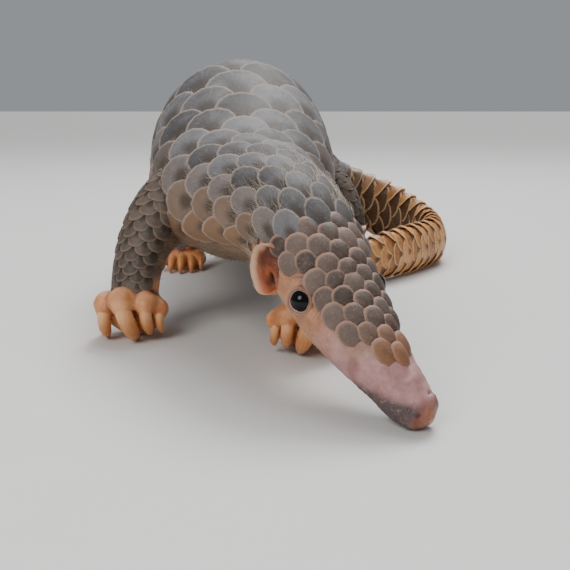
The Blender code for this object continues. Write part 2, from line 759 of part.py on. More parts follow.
def head_details(tube, head):
    """Lids, nostrils and mouth line. Returns the eyeballs."""
    eyes = []
    pieces = [head]
    sockets = []
    for side, name in ((-1, "eye_right"), (1, "eye_left")):
        centre, outward_way, forward, down = head_spot(tube, EYE_AT, side, EYE_DEPTH)
        eyes.append((name, centre))
        lid = []
        for turn in np.radians(np.arange(0, 360, 36)):
            across = forward * math.cos(turn) * LID_STRETCH + down * math.sin(turn)
            lid.append(centre + outward_way * LID_OUT + across * LID_RADIUS)
        pieces.append(object_of(ring_tube(lid, outward_way, LID_THICK, LID_TALL)))
        sockets.append(ball(centre, EYE_RADIUS + GAP))
    head = union(pieces)
    for socket in sockets:
        subtract(head, socket)
    path = [tube.skin(s, -q) * 1000 for s, q in MOUTH] + [tube.skin(s, q) * 1000 for s, q in MOUTH[-2::-1]]
    radius = MOUTH_RADIUS * 1000
    groove = Tube([(*place, radius, radius, radius, 0) for place in path], up=(0, -0.6, 1))
    subtract(head, object_of(plain(groove, 0, groove.length, 16, 6)))
    for side in (-1, 1):
        place, quarters = NOSTRIL_AT
        subtract(head, ball(tube.skin(place, side * quarters), NOSTRIL_RADIUS, segments=8))
    return head, eyes


def ring_tube(places, axis, thick, tall):
    """A closed band round a loop of places, a flat oval in section, its tall way along the axis."""
    shell = Shell()
    centre = np.mean(places, axis=0)
    outlines = []
    for place in places:
        away = unit(place - centre - axis * np.dot(place - centre, axis))
        outlines.append([place + away * thick * math.cos(a) + axis * tall * math.sin(a)
                         for a in np.arange(6) * math.pi / 3])
    for n, a in enumerate(outlines):
        b = outlines[(n + 1) % len(outlines)]
        for k in range(6):
            m = (k + 1) % 6
            shell.face(a[k], a[m], b[m], b[k])
    return shell


def make_ear(tube, side):
    """A shallow cup open towards the eye: a band of skin round most of an oval."""
    middle, outward_way, forward, down = head_spot(tube, EAR_AT, side, EAR_SUNK)
    front = forward * math.cos(EAR_LEAN) - down * math.sin(EAR_LEAN)
    foot = forward * math.sin(EAR_LEAN) + down * math.cos(EAR_LEAN)
    stations = []
    for degrees, tall, thick in EAR_BAND:
        a = math.radians(degrees)
        place = middle + front * EAR_SIZE[0] * math.cos(a) + foot * EAR_SIZE[1] * math.sin(a)
        stations.append((*(place * 1000), thick, tall, 3.0, 0))
    ear = Tube(stations, up=outward_way)
    return object_of(plain(ear, 0, ear.length, 12, 8))


def make_limb(kind, side, stations, facing, inner, seed):
    """A scaled leg, its foot and its five claws."""
    leg = Tube(stations, up=facing)
    half, rows = LEG_LATTICE
    along = leg.rows_between(0, leg.length, rows, *LEG_ROW)
    coat = Coat(leg, along, rows, lambda s: LEG_SPREAD, LEG_SCALE, half=half, seed=seed)
    limb = object_of(coat_part(coat, 0, rows, 4))

    ankle = np.array([stations[-1][0], stations[-1][1], 0.0])
    palm, digits = (FORE_PALM, FORE_DIGITS) if kind == "fore" else (HIND_PALM, HIND_DIGITS)
    sole = Tube([(ankle[0], ankle[1] - ahead, z, w, a, b, 0) for ahead, z, w, a, b in palm])
    pieces = [object_of(plain(sole, 0, sole.length, 9, 12, ease=True))]
    cutters = [object_of(plain(sole, 0, sole.length, 9, 12, 2 * GAP, ease=True))]
    claws, claw_beds = [], []
    for number, (off, ahead, high, tip_off, tip_ahead, tip_high, wide) in enumerate(digits, 1):
        knuckle = ankle + np.array([inner * off, -ahead, high])
        tip = ankle + np.array([inner * tip_off, -tip_ahead, tip_high + TIP_RISE])
        inside = ankle + np.array([inner * off * 0.6, 10 - ahead, high * 0.85])
        bow = CLAW_BOW * np.linalg.norm(tip - knuckle) * np.array(CLAW_LEAD[kind])
        body = wide + FLESH
        way = [(*inside, body, body, body, 0), (*knuckle, body + 0.5, body + 0.2, body + 0.2, 0)]
        for (share, push), (across, deep) in zip(CLAW_WAY, CLAW_SECTION):
            place = knuckle + (tip - knuckle) * share + bow * push
            way.append((*place, wide * across, wide * deep, wide * deep, 0))
        digit = Tube(way, up=(1, 0, 0))
        split = digit.stations[2]
        pieces.append(object_of(plain(digit, 0, split - GAP / 2, 4, 7)))
        cutters.append(object_of(plain(digit, 0, split - GAP / 2, 4, 7, 2 * GAP)))
        claw = object_of(plain(digit, split + GAP / 2, digit.length, 6, 7), ground=True)
        claws.append((f"claw_{kind}_{side}_{number}", claw))
        claw_beds.append(object_of(plain(digit, split + GAP / 2, digit.length, 6, 7, GAP)))
    foot = union(pieces)
    for beds in claw_beds:
        subtract(foot, beds)
    for vertex in foot.data.vertices:
        vertex.co.z = max(vertex.co.z, 0.0)
    for cutter in cutters:
        subtract(limb, cutter)
    return limb, foot, claws


def main():
    for obj in list(bpy.data.objects):
        bpy.data.objects.remove(obj)
    nodes = []
    tube, head, neck, torso, tail = make_body()
    nape, root = tube.stations[NAPE], tube.stations[ROOT]
    trunk_spread, head_spread = spread_of(TRUNK_SPREAD), spread_of(HEAD_SPREAD)
    turn = crown_turn(nape)

    def trunk_lift(s, q):
        covered = (TRUNK_LATTICE[0] + 0.7) * trunk_spread(s)
        return GAP + (TRUNK_SCALE * TALLEST if abs(q) < covered else 0.0)

    def head_lift(s, q):
        covered = (HEAD_LATTICE[0] + 1.6) * head_spread(s)
        return GAP + (HEAD_SCALE * TALLEST if abs(q - turn(s)) < covered else 0.0)

    head, eyes = head_details(tube, head)
    for name, centre in eyes:
        nodes.append(finish_node(ball(centre, EYE_RADIUS, segments=14), name, EYE_COLOUR, 0.1))
    for side, name in ((-1, "ear_right"), (1, "ear_left")):
        ear = make_ear(tube, side)
        subtract(ear, jacket(tube, FIRST_SCALE, nape + 0.004, head_lift, 26, 26))
        nodes.append(finish_node(ear, name, SKIN_COLOUR))
    for number, (kind, side, stations, facing, inner) in enumerate(LIMBS):
        limb, foot, claws = make_limb(kind, side, stations, facing, inner, 10 + number)
        subtract(limb, jacket(tube, nape + 0.01, root, trunk_lift, 32, 36))
        nodes.append(finish_node(limb, f"{kind}leg_{side}", LEG_COLOUR))
        nodes.append(finish_node(foot, f"{kind}foot_{side}", SKIN_COLOUR))
        for name, claw in claws:
            nodes.append(finish_node(claw, name, CLAW_COLOUR, 0.4))
    nodes.append(finish_node(head, "head", HEAD_COLOUR))
    nodes.append(finish_node(neck, "neck", BACK_COLOUR))
    nodes.append(finish_node(torso, "torso", BACK_COLOUR))
    for number, part in enumerate(tail, 1):
        nodes.append(finish_node(part, f"tail_{number}", TAIL_COLOUR))

    corners = np.array([vertex.co for node in nodes for vertex in node.data.vertices])
    low, high = corners.min(axis=0), corners.max(axis=0)
    middle = (low + high) / 2
    for node in nodes:
        for vertex in node.data.vertices:
            vertex.co.x -= middle[0]
            vertex.co.y -= middle[1]
            vertex.co.z -= low[2]


main()
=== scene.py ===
"""The looks of a life-size pangolin nosing along the ground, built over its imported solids.

One skin covers the whole animal. The horny scales are plates laid over it in a staggered lattice, and hairs
stand on it. Eyes, the lids' wet edges and claws are pieces of their own.

Lengths in the tables of stations are millimetres. All else is metres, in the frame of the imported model.
Throughout, s is a place down a spine, and q is a way round its section, in quarter turns to the left of the
top line. Side is -1 for the right side and 1 for the left.
"""

import math

import bmesh
import bpy
import numpy as np
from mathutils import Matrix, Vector
from mathutils.kdtree import KDTree


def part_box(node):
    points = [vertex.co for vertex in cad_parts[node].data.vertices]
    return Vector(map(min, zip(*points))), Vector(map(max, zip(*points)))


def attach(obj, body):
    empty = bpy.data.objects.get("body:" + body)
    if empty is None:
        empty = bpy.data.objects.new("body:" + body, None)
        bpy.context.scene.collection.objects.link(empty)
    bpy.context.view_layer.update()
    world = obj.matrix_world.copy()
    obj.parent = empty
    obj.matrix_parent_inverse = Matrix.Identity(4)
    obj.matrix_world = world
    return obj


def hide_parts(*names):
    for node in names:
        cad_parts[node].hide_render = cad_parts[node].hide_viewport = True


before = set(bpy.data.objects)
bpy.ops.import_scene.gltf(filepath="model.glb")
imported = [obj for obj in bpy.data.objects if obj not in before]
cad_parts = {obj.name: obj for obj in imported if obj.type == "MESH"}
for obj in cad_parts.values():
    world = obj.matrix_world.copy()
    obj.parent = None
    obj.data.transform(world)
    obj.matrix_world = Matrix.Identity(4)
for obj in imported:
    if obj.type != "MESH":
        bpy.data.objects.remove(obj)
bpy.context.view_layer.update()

MM = 0.001

# Nothing of the animal lies lower than this: a hair's breadth above the floor.
FLOOR = 0.00004

# The spine of the body from the nose to the tip of the tail, measured from the foot of the camera's stand:
# x, y, z, half width, height above, depth below, and roll in degrees.
BODY = (
    (53.5, 262.5, 4.5, 1.5, 1.5, 1.5, -11),
    (52.0, 264.0, 5.3, 6.0, 5.2, 5.2, -11),
    (48.0, 267.6, 8.3, 8.8, 7.8, 8.8, -11),
    (40.2, 276.2, 16.8, 11.2, 10.4, 11.8, -11),
    (30.5, 288.0, 27.0, 14.8, 13.8, 15.0, -11),
    (21.2, 302.8, 39.6, 18.6, 17.4, 18.2, -11),
    (14.0, 315.0, 52.0, 21.0, 19.6, 19.6, -11),
    (6.5, 329.0, 63.5, 22.0, 20.6, 20.8, -9),
    (-4.0, 350.0, 70.5, 26.5, 22.5, 24.5, -5),
    (-13.0, 375.0, 71.5, 33.5, 26.5, 29.0, -2),
    (-20.0, 402.0, 71.0, 42.0, 32.0, 34.0, 0),
    (-23.5, 440.0, 74.0, 50.0, 41.5, 41.0, 0),
    (-27.0, 488.0, 82.0, 54.5, 52.0, 51.5, -3),
    (-29.5, 530.0, 87.5, 55.5, 58.0, 57.0, -5),
    (-26.0, 573.0, 86.0, 53.0, 56.0, 56.0, -6),
    (-14.5, 610.0, 79.0, 48.0, 49.5, 48.5, -8),
    (0.5, 638.0, 66.5, 40.5, 37.0, 36.0, -15),
    (27.5, 658.0, 49.5, 32.0, 24.5, 22.5, -34),
    (58.0, 667.0, 39.5, 27.0, 16.0, 13.5, -58),
    (87.0, 656.0, 31.0, 22.5, 12.0, 9.6, -76),
    (106.0, 635.0, 24.5, 18.5, 10.2, 8.0, -84),
    (115.0, 608.0, 19.8, 15.6, 9.2, 7.2, -85),
    (112.5, 582.0, 18.8, 14.8, 8.6, 6.8, -85),
    (99.0, 559.0, 18.3, 14.3, 8.2, 6.4, -85),
    (81.0, 536.0, 18.0, 13.9, 7.8, 6.0, -85),
    (63.0, 518.5, 16.8, 12.6, 7.0, 5.4, -85),
    (46.0, 509.0, 13.8, 10.0, 5.8, 4.6, -85),
    (31.0, 505.0, 10.4, 6.8, 4.4, 3.6, -85),
    (22.0, 504.0, 8.0, 3.6, 2.6, 2.2, -85),
)

# Stations of the body at the rear of the head and at the root of the tail.
NAPE, ROOT = 7, 17

# Each limb's stations run down from inside the body, its section's top facing outwards.
FORELEG_RIGHT = (
    (-36.0, 424.0, 76.0, 22.0, 20.0, 18.0, 0),
    (-51.0, 417.0, 69.0, 22.0, 20.5, 18.0, 0),
    (-63.0, 408.0, 59.5, 19.5, 18.0, 16.0, 0),
    (-71.0, 399.0, 48.0, 16.0, 14.5, 12.5, 0),
    (-75.5, 392.0, 34.5, 13.2, 12.0, 11.5, 0),
    (-77.0, 387.5, 21.0, 12.5, 11.0, 11.0, 0),
    (-77.5, 385.5, 12.0, 10.5, 9.5, 9.5, 0),
)
FORELEG_LEFT = (
    (2.0, 414.0, 71.0, 21.0, 20.0, 18.0, 0),
    (12.0, 405.0, 62.0, 20.5, 19.0, 17.0, 0),
    (18.0, 394.0, 52.0, 18.0, 16.0, 15.0, 0),
    (18.0, 382.0, 42.0, 15.0, 13.0, 12.5, 0),
    (14.0, 373.0, 32.0, 13.0, 12.0, 11.5, 0),
    (10.5, 366.5, 21.0, 12.5, 11.0, 11.0, 0),
    (9.0, 363.0, 12.0, 10.5, 9.5, 9.5, 0),
)
HINDLEG_RIGHT = (
    (-46.0, 592.0, 78.0, 26.0, 16.0, 16.0, 0),
    (-62.0, 586.0, 66.0, 26.0, 17.0, 17.0, 0),
    (-70.0, 578.0, 51.0, 22.5, 15.0, 15.0, 0),
    (-74.0, 571.0, 36.0, 18.0, 13.0, 13.0, 0),
    (-75.0, 568.0, 23.0, 15.5, 12.0, 12.0, 0),
    (-75.0, 567.0, 12.0, 13.5, 11.0, 11.0, 0),
)
HINDLEG_LEFT = (
    (3.0, 588.0, 78.0, 26.0, 16.0, 16.0, 0),
    (22.0, 581.0, 66.0, 26.0, 17.0, 17.0, 0),
    (37.0, 572.0, 51.0, 22.5, 15.0, 15.0, 0),
    (44.0, 564.0, 36.0, 18.0, 13.0, 13.0, 0),
    (45.0, 561.0, 23.0, 15.5, 12.0, 12.0, 0),
    (45.0, 560.0, 12.0, 13.5, 11.0, 11.0, 0),
)

# A limb: its stations, the way its outer side faces, and which way its inner digit lies.
LIMBS = (
    ("fore", "right", FORELEG_RIGHT, (-0.93, -0.36, 0.0), 1),
    ("fore", "left", FORELEG_LEFT, (0.93, -0.36, 0.0), -1),
    ("hind", "right", HINDLEG_RIGHT, (-1.0, -0.1, 0.0), 1),
    ("hind", "left", HINDLEG_LEFT, (1.0, -0.1, 0.0), -1),
)

# The sole and back of a foot: ahead of the ankle, height, half width, height above, depth below.
FORE_PALM = (
    (-16.5, 9.0, 2.0, 2.0, 2.0),
    (-14.5, 9.5, 8.5, 7.5, 8.0),
    (-8.0, 11.8, 13.0, 11.5, 12.3),
    (-1.0, 14.0, 16.0, 11.5, 12.0),
    (5.5, 17.5, 16.0, 8.5, 8.5),
    (9.0, 19.0, 13.0, 5.0, 5.0),
    (10.0, 19.2, 4.0, 2.0, 2.0),
)
HIND_PALM = (
    (-18.5, 7.0, 2.0, 2.0, 2.0),
    (-16.5, 7.5, 8.0, 6.0, 7.0),
    (-8.0, 9.5, 13.0, 9.0, 10.0),
    (4.0, 9.5, 15.5, 9.0, 10.0),
    (11.0, 8.5, 15.5, 7.0, 9.0),
    (14.0, 8.0, 12.5, 5.0, 6.5),
    (15.0, 7.5, 4.0, 2.0, 2.5),
)

# Digits from the inner one out. For the knuckle, then for the claw's tip: how far it lies towards the inside
# and ahead, and its height. Last comes the claw's half width.
FORE_DIGITS = (
    (13.5, 8.0, 15.0, 14.5, 4.0, 3.0, 2.3),
    (7.5, 12.0, 19.5, 8.5, 4.0, 2.0, 3.2),
    (-4.0, 14.0, 21.5, 2.2, 7.0, 0.2, 4.2),
    (-13.5, 9.0, 18.5, -14.0, 2.0, 0.2, 3.4),
    (-16.0, 1.5, 12.0, -18.0, -5.0, 1.4, 2.2),
)
HIND_DIGITS = (
    (12.0, 6.5, 8.0, 14.0, 18.0, 0.6, 2.1),
    (6.5, 10.5, 9.0, 7.5, 24.0, 0.2, 2.7),
    (0.0, 12.0, 9.5, 0.0, 27.0, 0.2, 2.9),
    (-6.5, 10.5, 9.0, -7.5, 24.0, 0.2, 2.7),
    (-12.0, 6.5, 8.0, -14.0, 18.0, 0.6, 2.1),
)

# A digit runs from inside the foot over its knuckle. Its claw bows forward on a fore foot, up on a hind one.
# The claw's stations lie at a share of the way from knuckle to tip, pushed out by a share of the bow. The
# section there is wide and deep by these shares of the claw's half width.
CLAW_BOW = 0.30
CLAW_WAY = ((0.22, 0.62), (0.58, 0.85), (0.84, 0.45), (1.0, 0.0))
CLAW_SECTION = ((1.20, 1.12), (1.06, 0.98), (0.78, 0.72), (0.30, 0.26))
CLAW_LEAD = {"fore": (0.0, -1.0, 0.1), "hind": (0.0, -0.2, 0.85)}

# The way a claw's back faces, and how far the horn starts inside the flesh.
CLAW_BACK = {"fore": (0.0, -1.0, 0.0), "hind": (0.0, -0.25, 1.0)}
CLAW_SET = 0.0014

# In millimetres, how much a claw's tip is raised, and what a digit's flesh adds to the claw's half width.
TIP_RISE = 0.7
FLESH = 2.4

# The eyeball: radius, how far its centre lies inside the skin, and its place (down the spine, quarter turns).
EYE_RADIUS = 0.0056
EYE_DEPTH = 0.0029
EYE_AT = (0.0650, 0.875)

# How far the ball is drawn in from its radius, and how far the cornea stands out from it.
BALL_INSET = 0.00005
CORNEA_RISE = 0.00030

# The head's features lie this many quarter turns round to the left of the spine's top line.
HEAD_TURN = 0.045

# How far the dressed eye stands ahead of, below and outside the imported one, and how it looks ahead and up.
EYE_SHIFT = (0.0008, -0.0006, 0.0005)
EYE_TOWARD = (0.58, -0.81)
EYE_TURN = math.radians(34)

# The opening between the lids, as an angle seen from the middle of the ball, and the thickness of a lid.
LID_ANGLE = math.radians(47)
LID_THICK = 0.0009

# Each ring of a lid: its angle past the opening's edge, and its height off the ball. Past these, the lid's
# outside goes on in even steps, folded, and then its inside comes back within the ball's surface.
LID_EDGE = ((-0.050, -0.0004), (-0.042, 0.00015), (-0.028, 0.00050), (-0.005, 0.00072), (0.025, 0.00084))
LID_STEPS = (0.055, 0.72, 0.030)
LID_INSIDE = ((0.72, -0.0012), (0.40, -0.0011), (0.10, -0.0009))

# The brow's wrinkles: how far from the ball's middle the first one lies, their step and their height.
WRINKLE_START = 0.0088
WRINKLE_STEP = 0.0017
WRINKLE_RISE = 0.00026

# The ear: its place, the half sizes of the oval that its rim follows, how far that leans forward at its foot,
# and the place and half sizes of the ear hole in it.
EAR_AT = (0.0837, 0.985)
EAR_SIZE = (0.0064, 0.0106)
EAR_LEAN = math.radians(23.6)
EAR_HOLE = (-0.0010, 0.0056)
EAR_HOLE_SIZE = (0.0026, 0.0030)

# The ear's rim: degrees round from its front side, height and half thickness, both in millimetres.
EAR_BAND = (
    (48, 0.9, 0.7), (80, 3.0, 0.9), (115, 4.9, 1.0), (150, 5.8, 1.0), (186, 6.0, 1.0), (222, 5.2, 1.0),
    (256, 3.5, 0.9), (287, 0.8, 0.6),
)

# How far the rim's line lies inside the skin, and how deep its root reaches below that.
EAR_SET = 0.0007
EAR_ROOT = 0.0028

# The mouth's line under the snout, from a corner to the middle: places down the spine and quarter turns.
MOUTH = ((0.0270, 1.32), (0.0200, 1.42), (0.0130, 1.50), (0.0085, 1.66), (0.0066, 2.00))
NOSTRIL_AT = (0.0035, 0.62)

# Where the soil and painted shade on the snout's lower sides begin: place down the spine, and quarter turns
# round to either side.
SOIL_AND_SHADE_EDGE = ((0.006, 0.50), (0.008, 0.60), (0.013, 0.80), (0.018, 0.98), (0.025, 1.25), (0.032, 1.45))

# Low bumps of bare skin before the first scales: place, quarter turn, rise and half width.
SNOUT_BUMPS = (
    (0.0205, -0.12, 0.00065, 0.0030), (0.0160, 0.16, 0.00050, 0.0028), (0.0248, -0.46, 0.00050, 0.0028),
    (0.0250, 0.50, 0.00050, 0.0028), (0.0130, -0.12, 0.00028, 0.0024), (0.0300, -0.70, 0.00035, 0.0030),
    (0.0300, 0.72, 0.00035, 0.0030),
)

# Lattices of scales: columns to each side of the middle one, and rows. The tail has its columns all round.
TRUNK_LATTICE = (5, 13)
HEAD_LATTICE = (3, 8)
LEG_LATTICE = (5, 13)
TAIL_LATTICE = (8, 24)

# Where the small scales of the crown begin, and where the broad ones of the back follow them.
FIRST_SCALE = 0.0247
CROWN_END = 0.0910

# Quarter turns from one column of scales to the next, at places down the spine.
HEAD_SPREAD = ((0.025, 0.268), (0.050, 0.258), (0.066, 0.226), (0.085, 0.208), (0.101, 0.205))
TRUNK_SPREAD = (
    (0.101, 0.205), (0.125, 0.225), (0.170, 0.250), (0.240, 0.270), (0.420, 0.270), (0.480, 0.235),
)
LEG_SPREAD = 0.22

# How closely the skin's grid is ruled: place down the spine or quarter turns round, and the step there.
ROW_STEPS = (
    (0.0, 0.0006), (0.032, 0.0008), (0.054, 0.0005), (0.098, 0.0006), (0.115, 0.004), (0.46, 0.0045),
    (0.74, 0.0038),
)
TURN_STEPS = ((0.0, 0.036), (0.48, 0.017), (1.20, 0.017), (1.50, 0.034), (2.0, 0.034))

# The grain at which a limb's parts are fused, and the rounds that even it out.
FUSE_GRAIN = 0.00125
FUSE_ROUNDS = 3

# Where pieces of skin were joined, the seam is evened out this far to both sides: on the head, and elsewhere.
HEAD_BLEND = 0.0014
BODY_BLEND = 0.0045


def unit(vectors):
    """Vectors at length one, along the last axis."""
    vectors = np.asarray(vectors, float)
    return vectors / np.linalg.norm(vectors, axis=-1, keepdims=True)


def turned(vectors, axes, angles):
    """Vectors turned about unit axes, by the right-hand rule."""
    angles = np.asarray(angles)[..., None]
    along = np.sum(vectors * axes, axis=-1, keepdims=True)
    across = np.cross(axes, vectors)
    return vectors * np.cos(angles) + across * np.sin(angles) + axes * along * (1 - np.cos(angles))


def smooth_curve(knots, values, places):
    """A curve through the values at the knots, read at the given places."""
    slopes = np.gradient(values, knots, axis=0)
    index = np.clip(np.searchsorted(knots, places, side="right") - 1, 0, len(knots) - 2)
    span = (knots[index + 1] - knots[index])[:, None]
    t = (places - knots[index])[:, None] / span
    return (
        (2 * t**3 - 3 * t**2 + 1) * values[index]
        + (t**3 - 2 * t**2 + t) * span * slopes[index]
        + (3 * t**2 - 2 * t**3) * values[index + 1]
        + (t**3 - t**2) * span * slopes[index + 1]
    )


def ease(low, high, values):
    """0 below low, 1 above high, and a smooth step between. With high as the smaller one it falls instead."""
    t = np.clip((np.asarray(values, float) - low) / (high - low), 0, 1)
    return t * t * (3 - 2 * t)


def bell(values, middle, width):
    """1 in the middle, falling off to both sides."""
    return np.exp(-(((np.asarray(values) - middle) / width) ** 2))


def line_through(pairs):
    """A function that reads values off straight lines through pairs of a place and its value."""
    places, values = zip(*pairs)
    return lambda s: np.interp(s, places, values)


def round_turns(count):
    """Angles evenly round a full turn."""
    return np.arange(count) * 2 * math.pi / count


class Tube:
    """A spine with an oval section. The section's top faces the direction `up` as nearly as it can."""

    SAMPLES = 400
    ARC_STEPS = 32

    def __init__(self, stations, up=(0.0, 0.0, 1.0), move=(0.0, 0.0, 0.0)):
        rows = np.array(stations, float) * np.array([MM] * 6 + [math.radians(1)])
        rows[:, :3] += move
        steps = np.linalg.norm(np.diff(rows[:, :3], axis=0), axis=1)
        knots = np.concatenate([[0], np.cumsum(steps)])
        places = np.unique(np.concatenate([knots, np.linspace(0, knots[-1], self.SAMPLES)]))
        self.rows = smooth_curve(knots, rows, places)
        walked = np.linalg.norm(np.diff(self.rows[:, :3], axis=0), axis=1)
        self.reach = np.concatenate([[0], np.cumsum(walked)])
        self.stations = np.interp(knots, places, self.reach)
        self.length = self.reach[-1]
        self.headings = np.gradient(self.rows[:, :3], self.reach, axis=0)
        self.up = unit(up)

    def frames(self, s):
        """Rows, leftward, upward and backward directions at places down the spine."""
        s = np.atleast_1d(np.asarray(s, float))
        rows = np.stack([np.interp(s, self.reach, self.rows[:, c]) for c in range(7)], 1)
        heading = unit(np.stack([np.interp(s, self.reach, self.headings[:, c]) for c in range(3)], 1))
        upward = unit(self.up - heading * (heading @ self.up)[:, None])
        upward = turned(upward, heading, rows[:, 6])
        return rows, np.cross(heading, upward), upward, heading

    def angles(self, rows, quarters):
        """Angles from the top, for distances round the section in quarters of it."""
        q = (np.asarray(quarters, float) + 2) % 4 - 2
        side, q = np.where(q >= 0, 1, -1), np.abs(q)
        low = q > 1
        height = np.where(low, rows[:, 5], rows[:, 4])
        start = np.where(low, math.pi / 2, 0.0)
        angles = start[:, None] + np.linspace(0, math.pi / 2, self.ARC_STEPS + 1)
        speeds = np.hypot(rows[:, 3:4] * np.cos(angles), height[:, None] * np.sin(angles))
        walked = np.cumsum((speeds[:, 1:] + speeds[:, :-1]) / 2, axis=1)
        walked = np.concatenate([np.zeros((len(q), 1)), walked], axis=1)
        walked /= walked[:, -1:]
        share = q - np.where(low, 1.0, 0.0)
        index = np.clip((walked <= share[:, None]).sum(axis=1) - 1, 0, self.ARC_STEPS - 1)
        here = np.arange(len(q))
        part = (share - walked[here, index]) / (walked[here, index + 1] - walked[here, index])
        return side * (start + (index + part) * (math.pi / 2 / self.ARC_STEPS))

    def at_angle(self, s, angle, lift=0.0):
        """Places on the skin, lifted off it, and the outward directions there."""
        rows, leftward, upward, _ = self.frames(s)
        across, rise = np.sin(angle)[:, None], np.cos(angle)[:, None]
        height = np.where(rise > 0, rows[:, 4:5], rows[:, 5:6])
        width = rows[:, 3:4]
        out = unit(leftward * across * height + upward * rise * width)
        lift = np.broadcast_to(lift, (len(rows),))[:, None]
        return rows[:, :3] + leftward * width * across + upward * height * rise + out * lift, out

    def skin(self, s, quarters, lift=0.0):
        """Places on the skin at places down the spine and quarter turns round, and outward directions."""
        s, quarters = np.broadcast_arrays(np.asarray(s, float), np.asarray(quarters, float))
        s, quarters = np.atleast_1d(s), np.atleast_1d(quarters)
        rows = self.frames(s)[0]
        return self.at_angle(s, self.angles(rows, quarters), lift)

    def point(self, s, quarters, lift=0.0):
        return self.skin(s, quarters, lift)[0][0]

    def rows_between(self, start, end, count, least, share):
        """Where the rows from start to end lie, each as long as `least` and a share of the half width."""
        inside = np.linspace(start, end, 200)
        widths = np.interp(inside, self.reach, self.rows[:, 3])
        density = 1 / (least + share * widths)
        grown = np.concatenate([[0], np.cumsum((density[1:] + density[:-1]) / 2)])
        grown /= grown[-1]
        first = np.interp(1 / count, grown, inside) - start
        last = end - np.interp(1 - 1 / count, grown, inside)

        def along(row):
            row = np.asarray(row, float)
            within = np.interp(row / count, grown, inside)
            past = np.where(row > count, end + (row - count) * last, within)
            return np.where(row < 0, start + row * first, past)

        return along


def way_to_packed():
    """How far the tables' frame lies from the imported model's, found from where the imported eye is."""
    plain = Tube(BODY)
    eye = plain.point(EYE_AT[0], HEAD_TURN - EYE_AT[1], -EYE_DEPTH)
    low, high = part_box("eye_right")
    return (np.array(low) + np.array(high)) / 2 - eye


MOVE = way_to_packed()
SPINE = Tube(BODY, move=MOVE)
NAPE_AT, ROOT_AT = SPINE.stations[NAPE], SPINE.stations[ROOT]


def new_object(name, data):
    """A new object of a mesh, a lamp or a camera, in the scene."""
    made = bpy.data.objects.new(name, data)
    bpy.context.scene.collection.objects.link(made)
    return made


def mesh_of(name, places, faces):
    mesh = bpy.data.meshes.new(name)
    mesh.from_pydata([tuple(p) for p in places], [], [tuple(int(i) for i in f) for f in faces])
    mesh.update()
    return mesh


def discard(obj):
    mesh = obj.data
    bpy.data.objects.remove(obj)
    if mesh.users == 0:
        bpy.data.meshes.remove(mesh)


def shaped_mesh(obj):
    """A plain mesh of the object as its modifiers shape it. The modifiers are removed."""
    bpy.context.view_layer.update()
    graph = bpy.context.evaluated_depsgraph_get()
    mesh = bpy.data.meshes.new_from_object(obj.evaluated_get(graph))
    obj.modifiers.clear()
    return mesh


def work_in(obj):
    """Works the object's modifiers into its mesh."""
    mesh = shaped_mesh(obj)
    old, obj.data = obj.data, mesh
    bpy.data.meshes.remove(old)


def places_of(mesh):
    places = np.empty(len(mesh.vertices) * 3, np.float32)
    mesh.vertices.foreach_get("co", places)
    return places.reshape(-1, 3).astype(float)


def move_to(mesh, places):
    mesh.vertices.foreach_set("co", np.asarray(places, np.float32).ravel())
    mesh.update()


def above_floor(places):
    """The places, those below the floor raised onto it."""
    places[:, 2] = np.maximum(places[:, 2], FLOOR)
    return places


def keep_above_floor(mesh):
    move_to(mesh, above_floor(places_of(mesh)))


def corner_vertices(mesh):
    """The vertex at each corner of each face."""
    found = np.empty(len(mesh.loops), np.int32)
    mesh.loops.foreach_get("vertex_index", found)
    return found


def lay_flat(mesh, name, flat):
    """Gives a mesh a flat layout: a place on it for each corner of each face."""
    layer = mesh.uv_layers.new(name=name)
    layer.data.foreach_set("uv", flat.astype(np.float32).ravel())


def mark(mesh, name, values, kind="FLOAT"):
    """Stores a number or a vector at each vertex."""
    layer = mesh.attributes.new(name, kind, "POINT")
    field = "value" if kind == "FLOAT" else "vector"
    layer.data.foreach_set(field, np.asarray(values, np.float32).ravel())


def marks_of(mesh, name):
    """The number stored at each vertex."""
    values = np.empty(len(mesh.vertices), np.float32)
    mesh.attributes[name].data.foreach_get("value", values)
    return values


def band(first, second, around):
    """Faces between two rings of vertices that start at these numbers."""
    pairs = [(n, (n + 1) % around) for n in range(around)]
    return [(first + n, first + m, second + m, second + n) for n, m in pairs]


def lofted(rings):
    """Places and faces of a skin through rings of equally many places, its ends closed by a middle point."""
    rings = np.asarray(rings)
    count, around = rings.shape[:2]
    faces = []
    for r in range(count - 1):
        faces += band(r * around, (r + 1) * around, around)
    ends = [rings[0].mean(axis=0), rings[-1].mean(axis=0)]
    places = np.concatenate([rings.reshape(-1, 3), ends])
    first, second = len(places) - 2, len(places) - 1
    for n in range(around):
        m = (n + 1) % around
        faces.append((first, m, n))
        faces.append((second, (count - 1) * around + n, (count - 1) * around + m))
    return places, faces


def looped(rings):
    """Places and faces of a skin through rings that the last one closes to the first, like a tyre's."""
    rings = np.asarray(rings)
    count, around = rings.shape[:2]
    faces = []
    for r in range(count):
        faces += band(r * around, (r + 1) % count * around, around)
    return rings.reshape(-1, 3), faces


def outward(mesh):
    """Turns the faces of a closed mesh outwards."""
    work = bmesh.new()
    work.from_mesh(mesh)
    if work.calc_volume(signed=True) < 0:
        bmesh.ops.reverse_faces(work, faces=work.faces[:])
    work.to_mesh(mesh)
    work.free()
    return mesh


def ruled(steps):
    """Places from the first to the last of (place, step), spaced by the step given near each."""
    at, step = np.array(steps, float).T
    out = [at[0]]
    while out[-1] < at[-1]:
        out.append(out[-1] + np.interp(out[-1], at, step))
    out = np.array(out)
    return at[0] + (out - at[0]) * (at[-1] - at[0]) / (out[-1] - at[0])


# Shape of the head


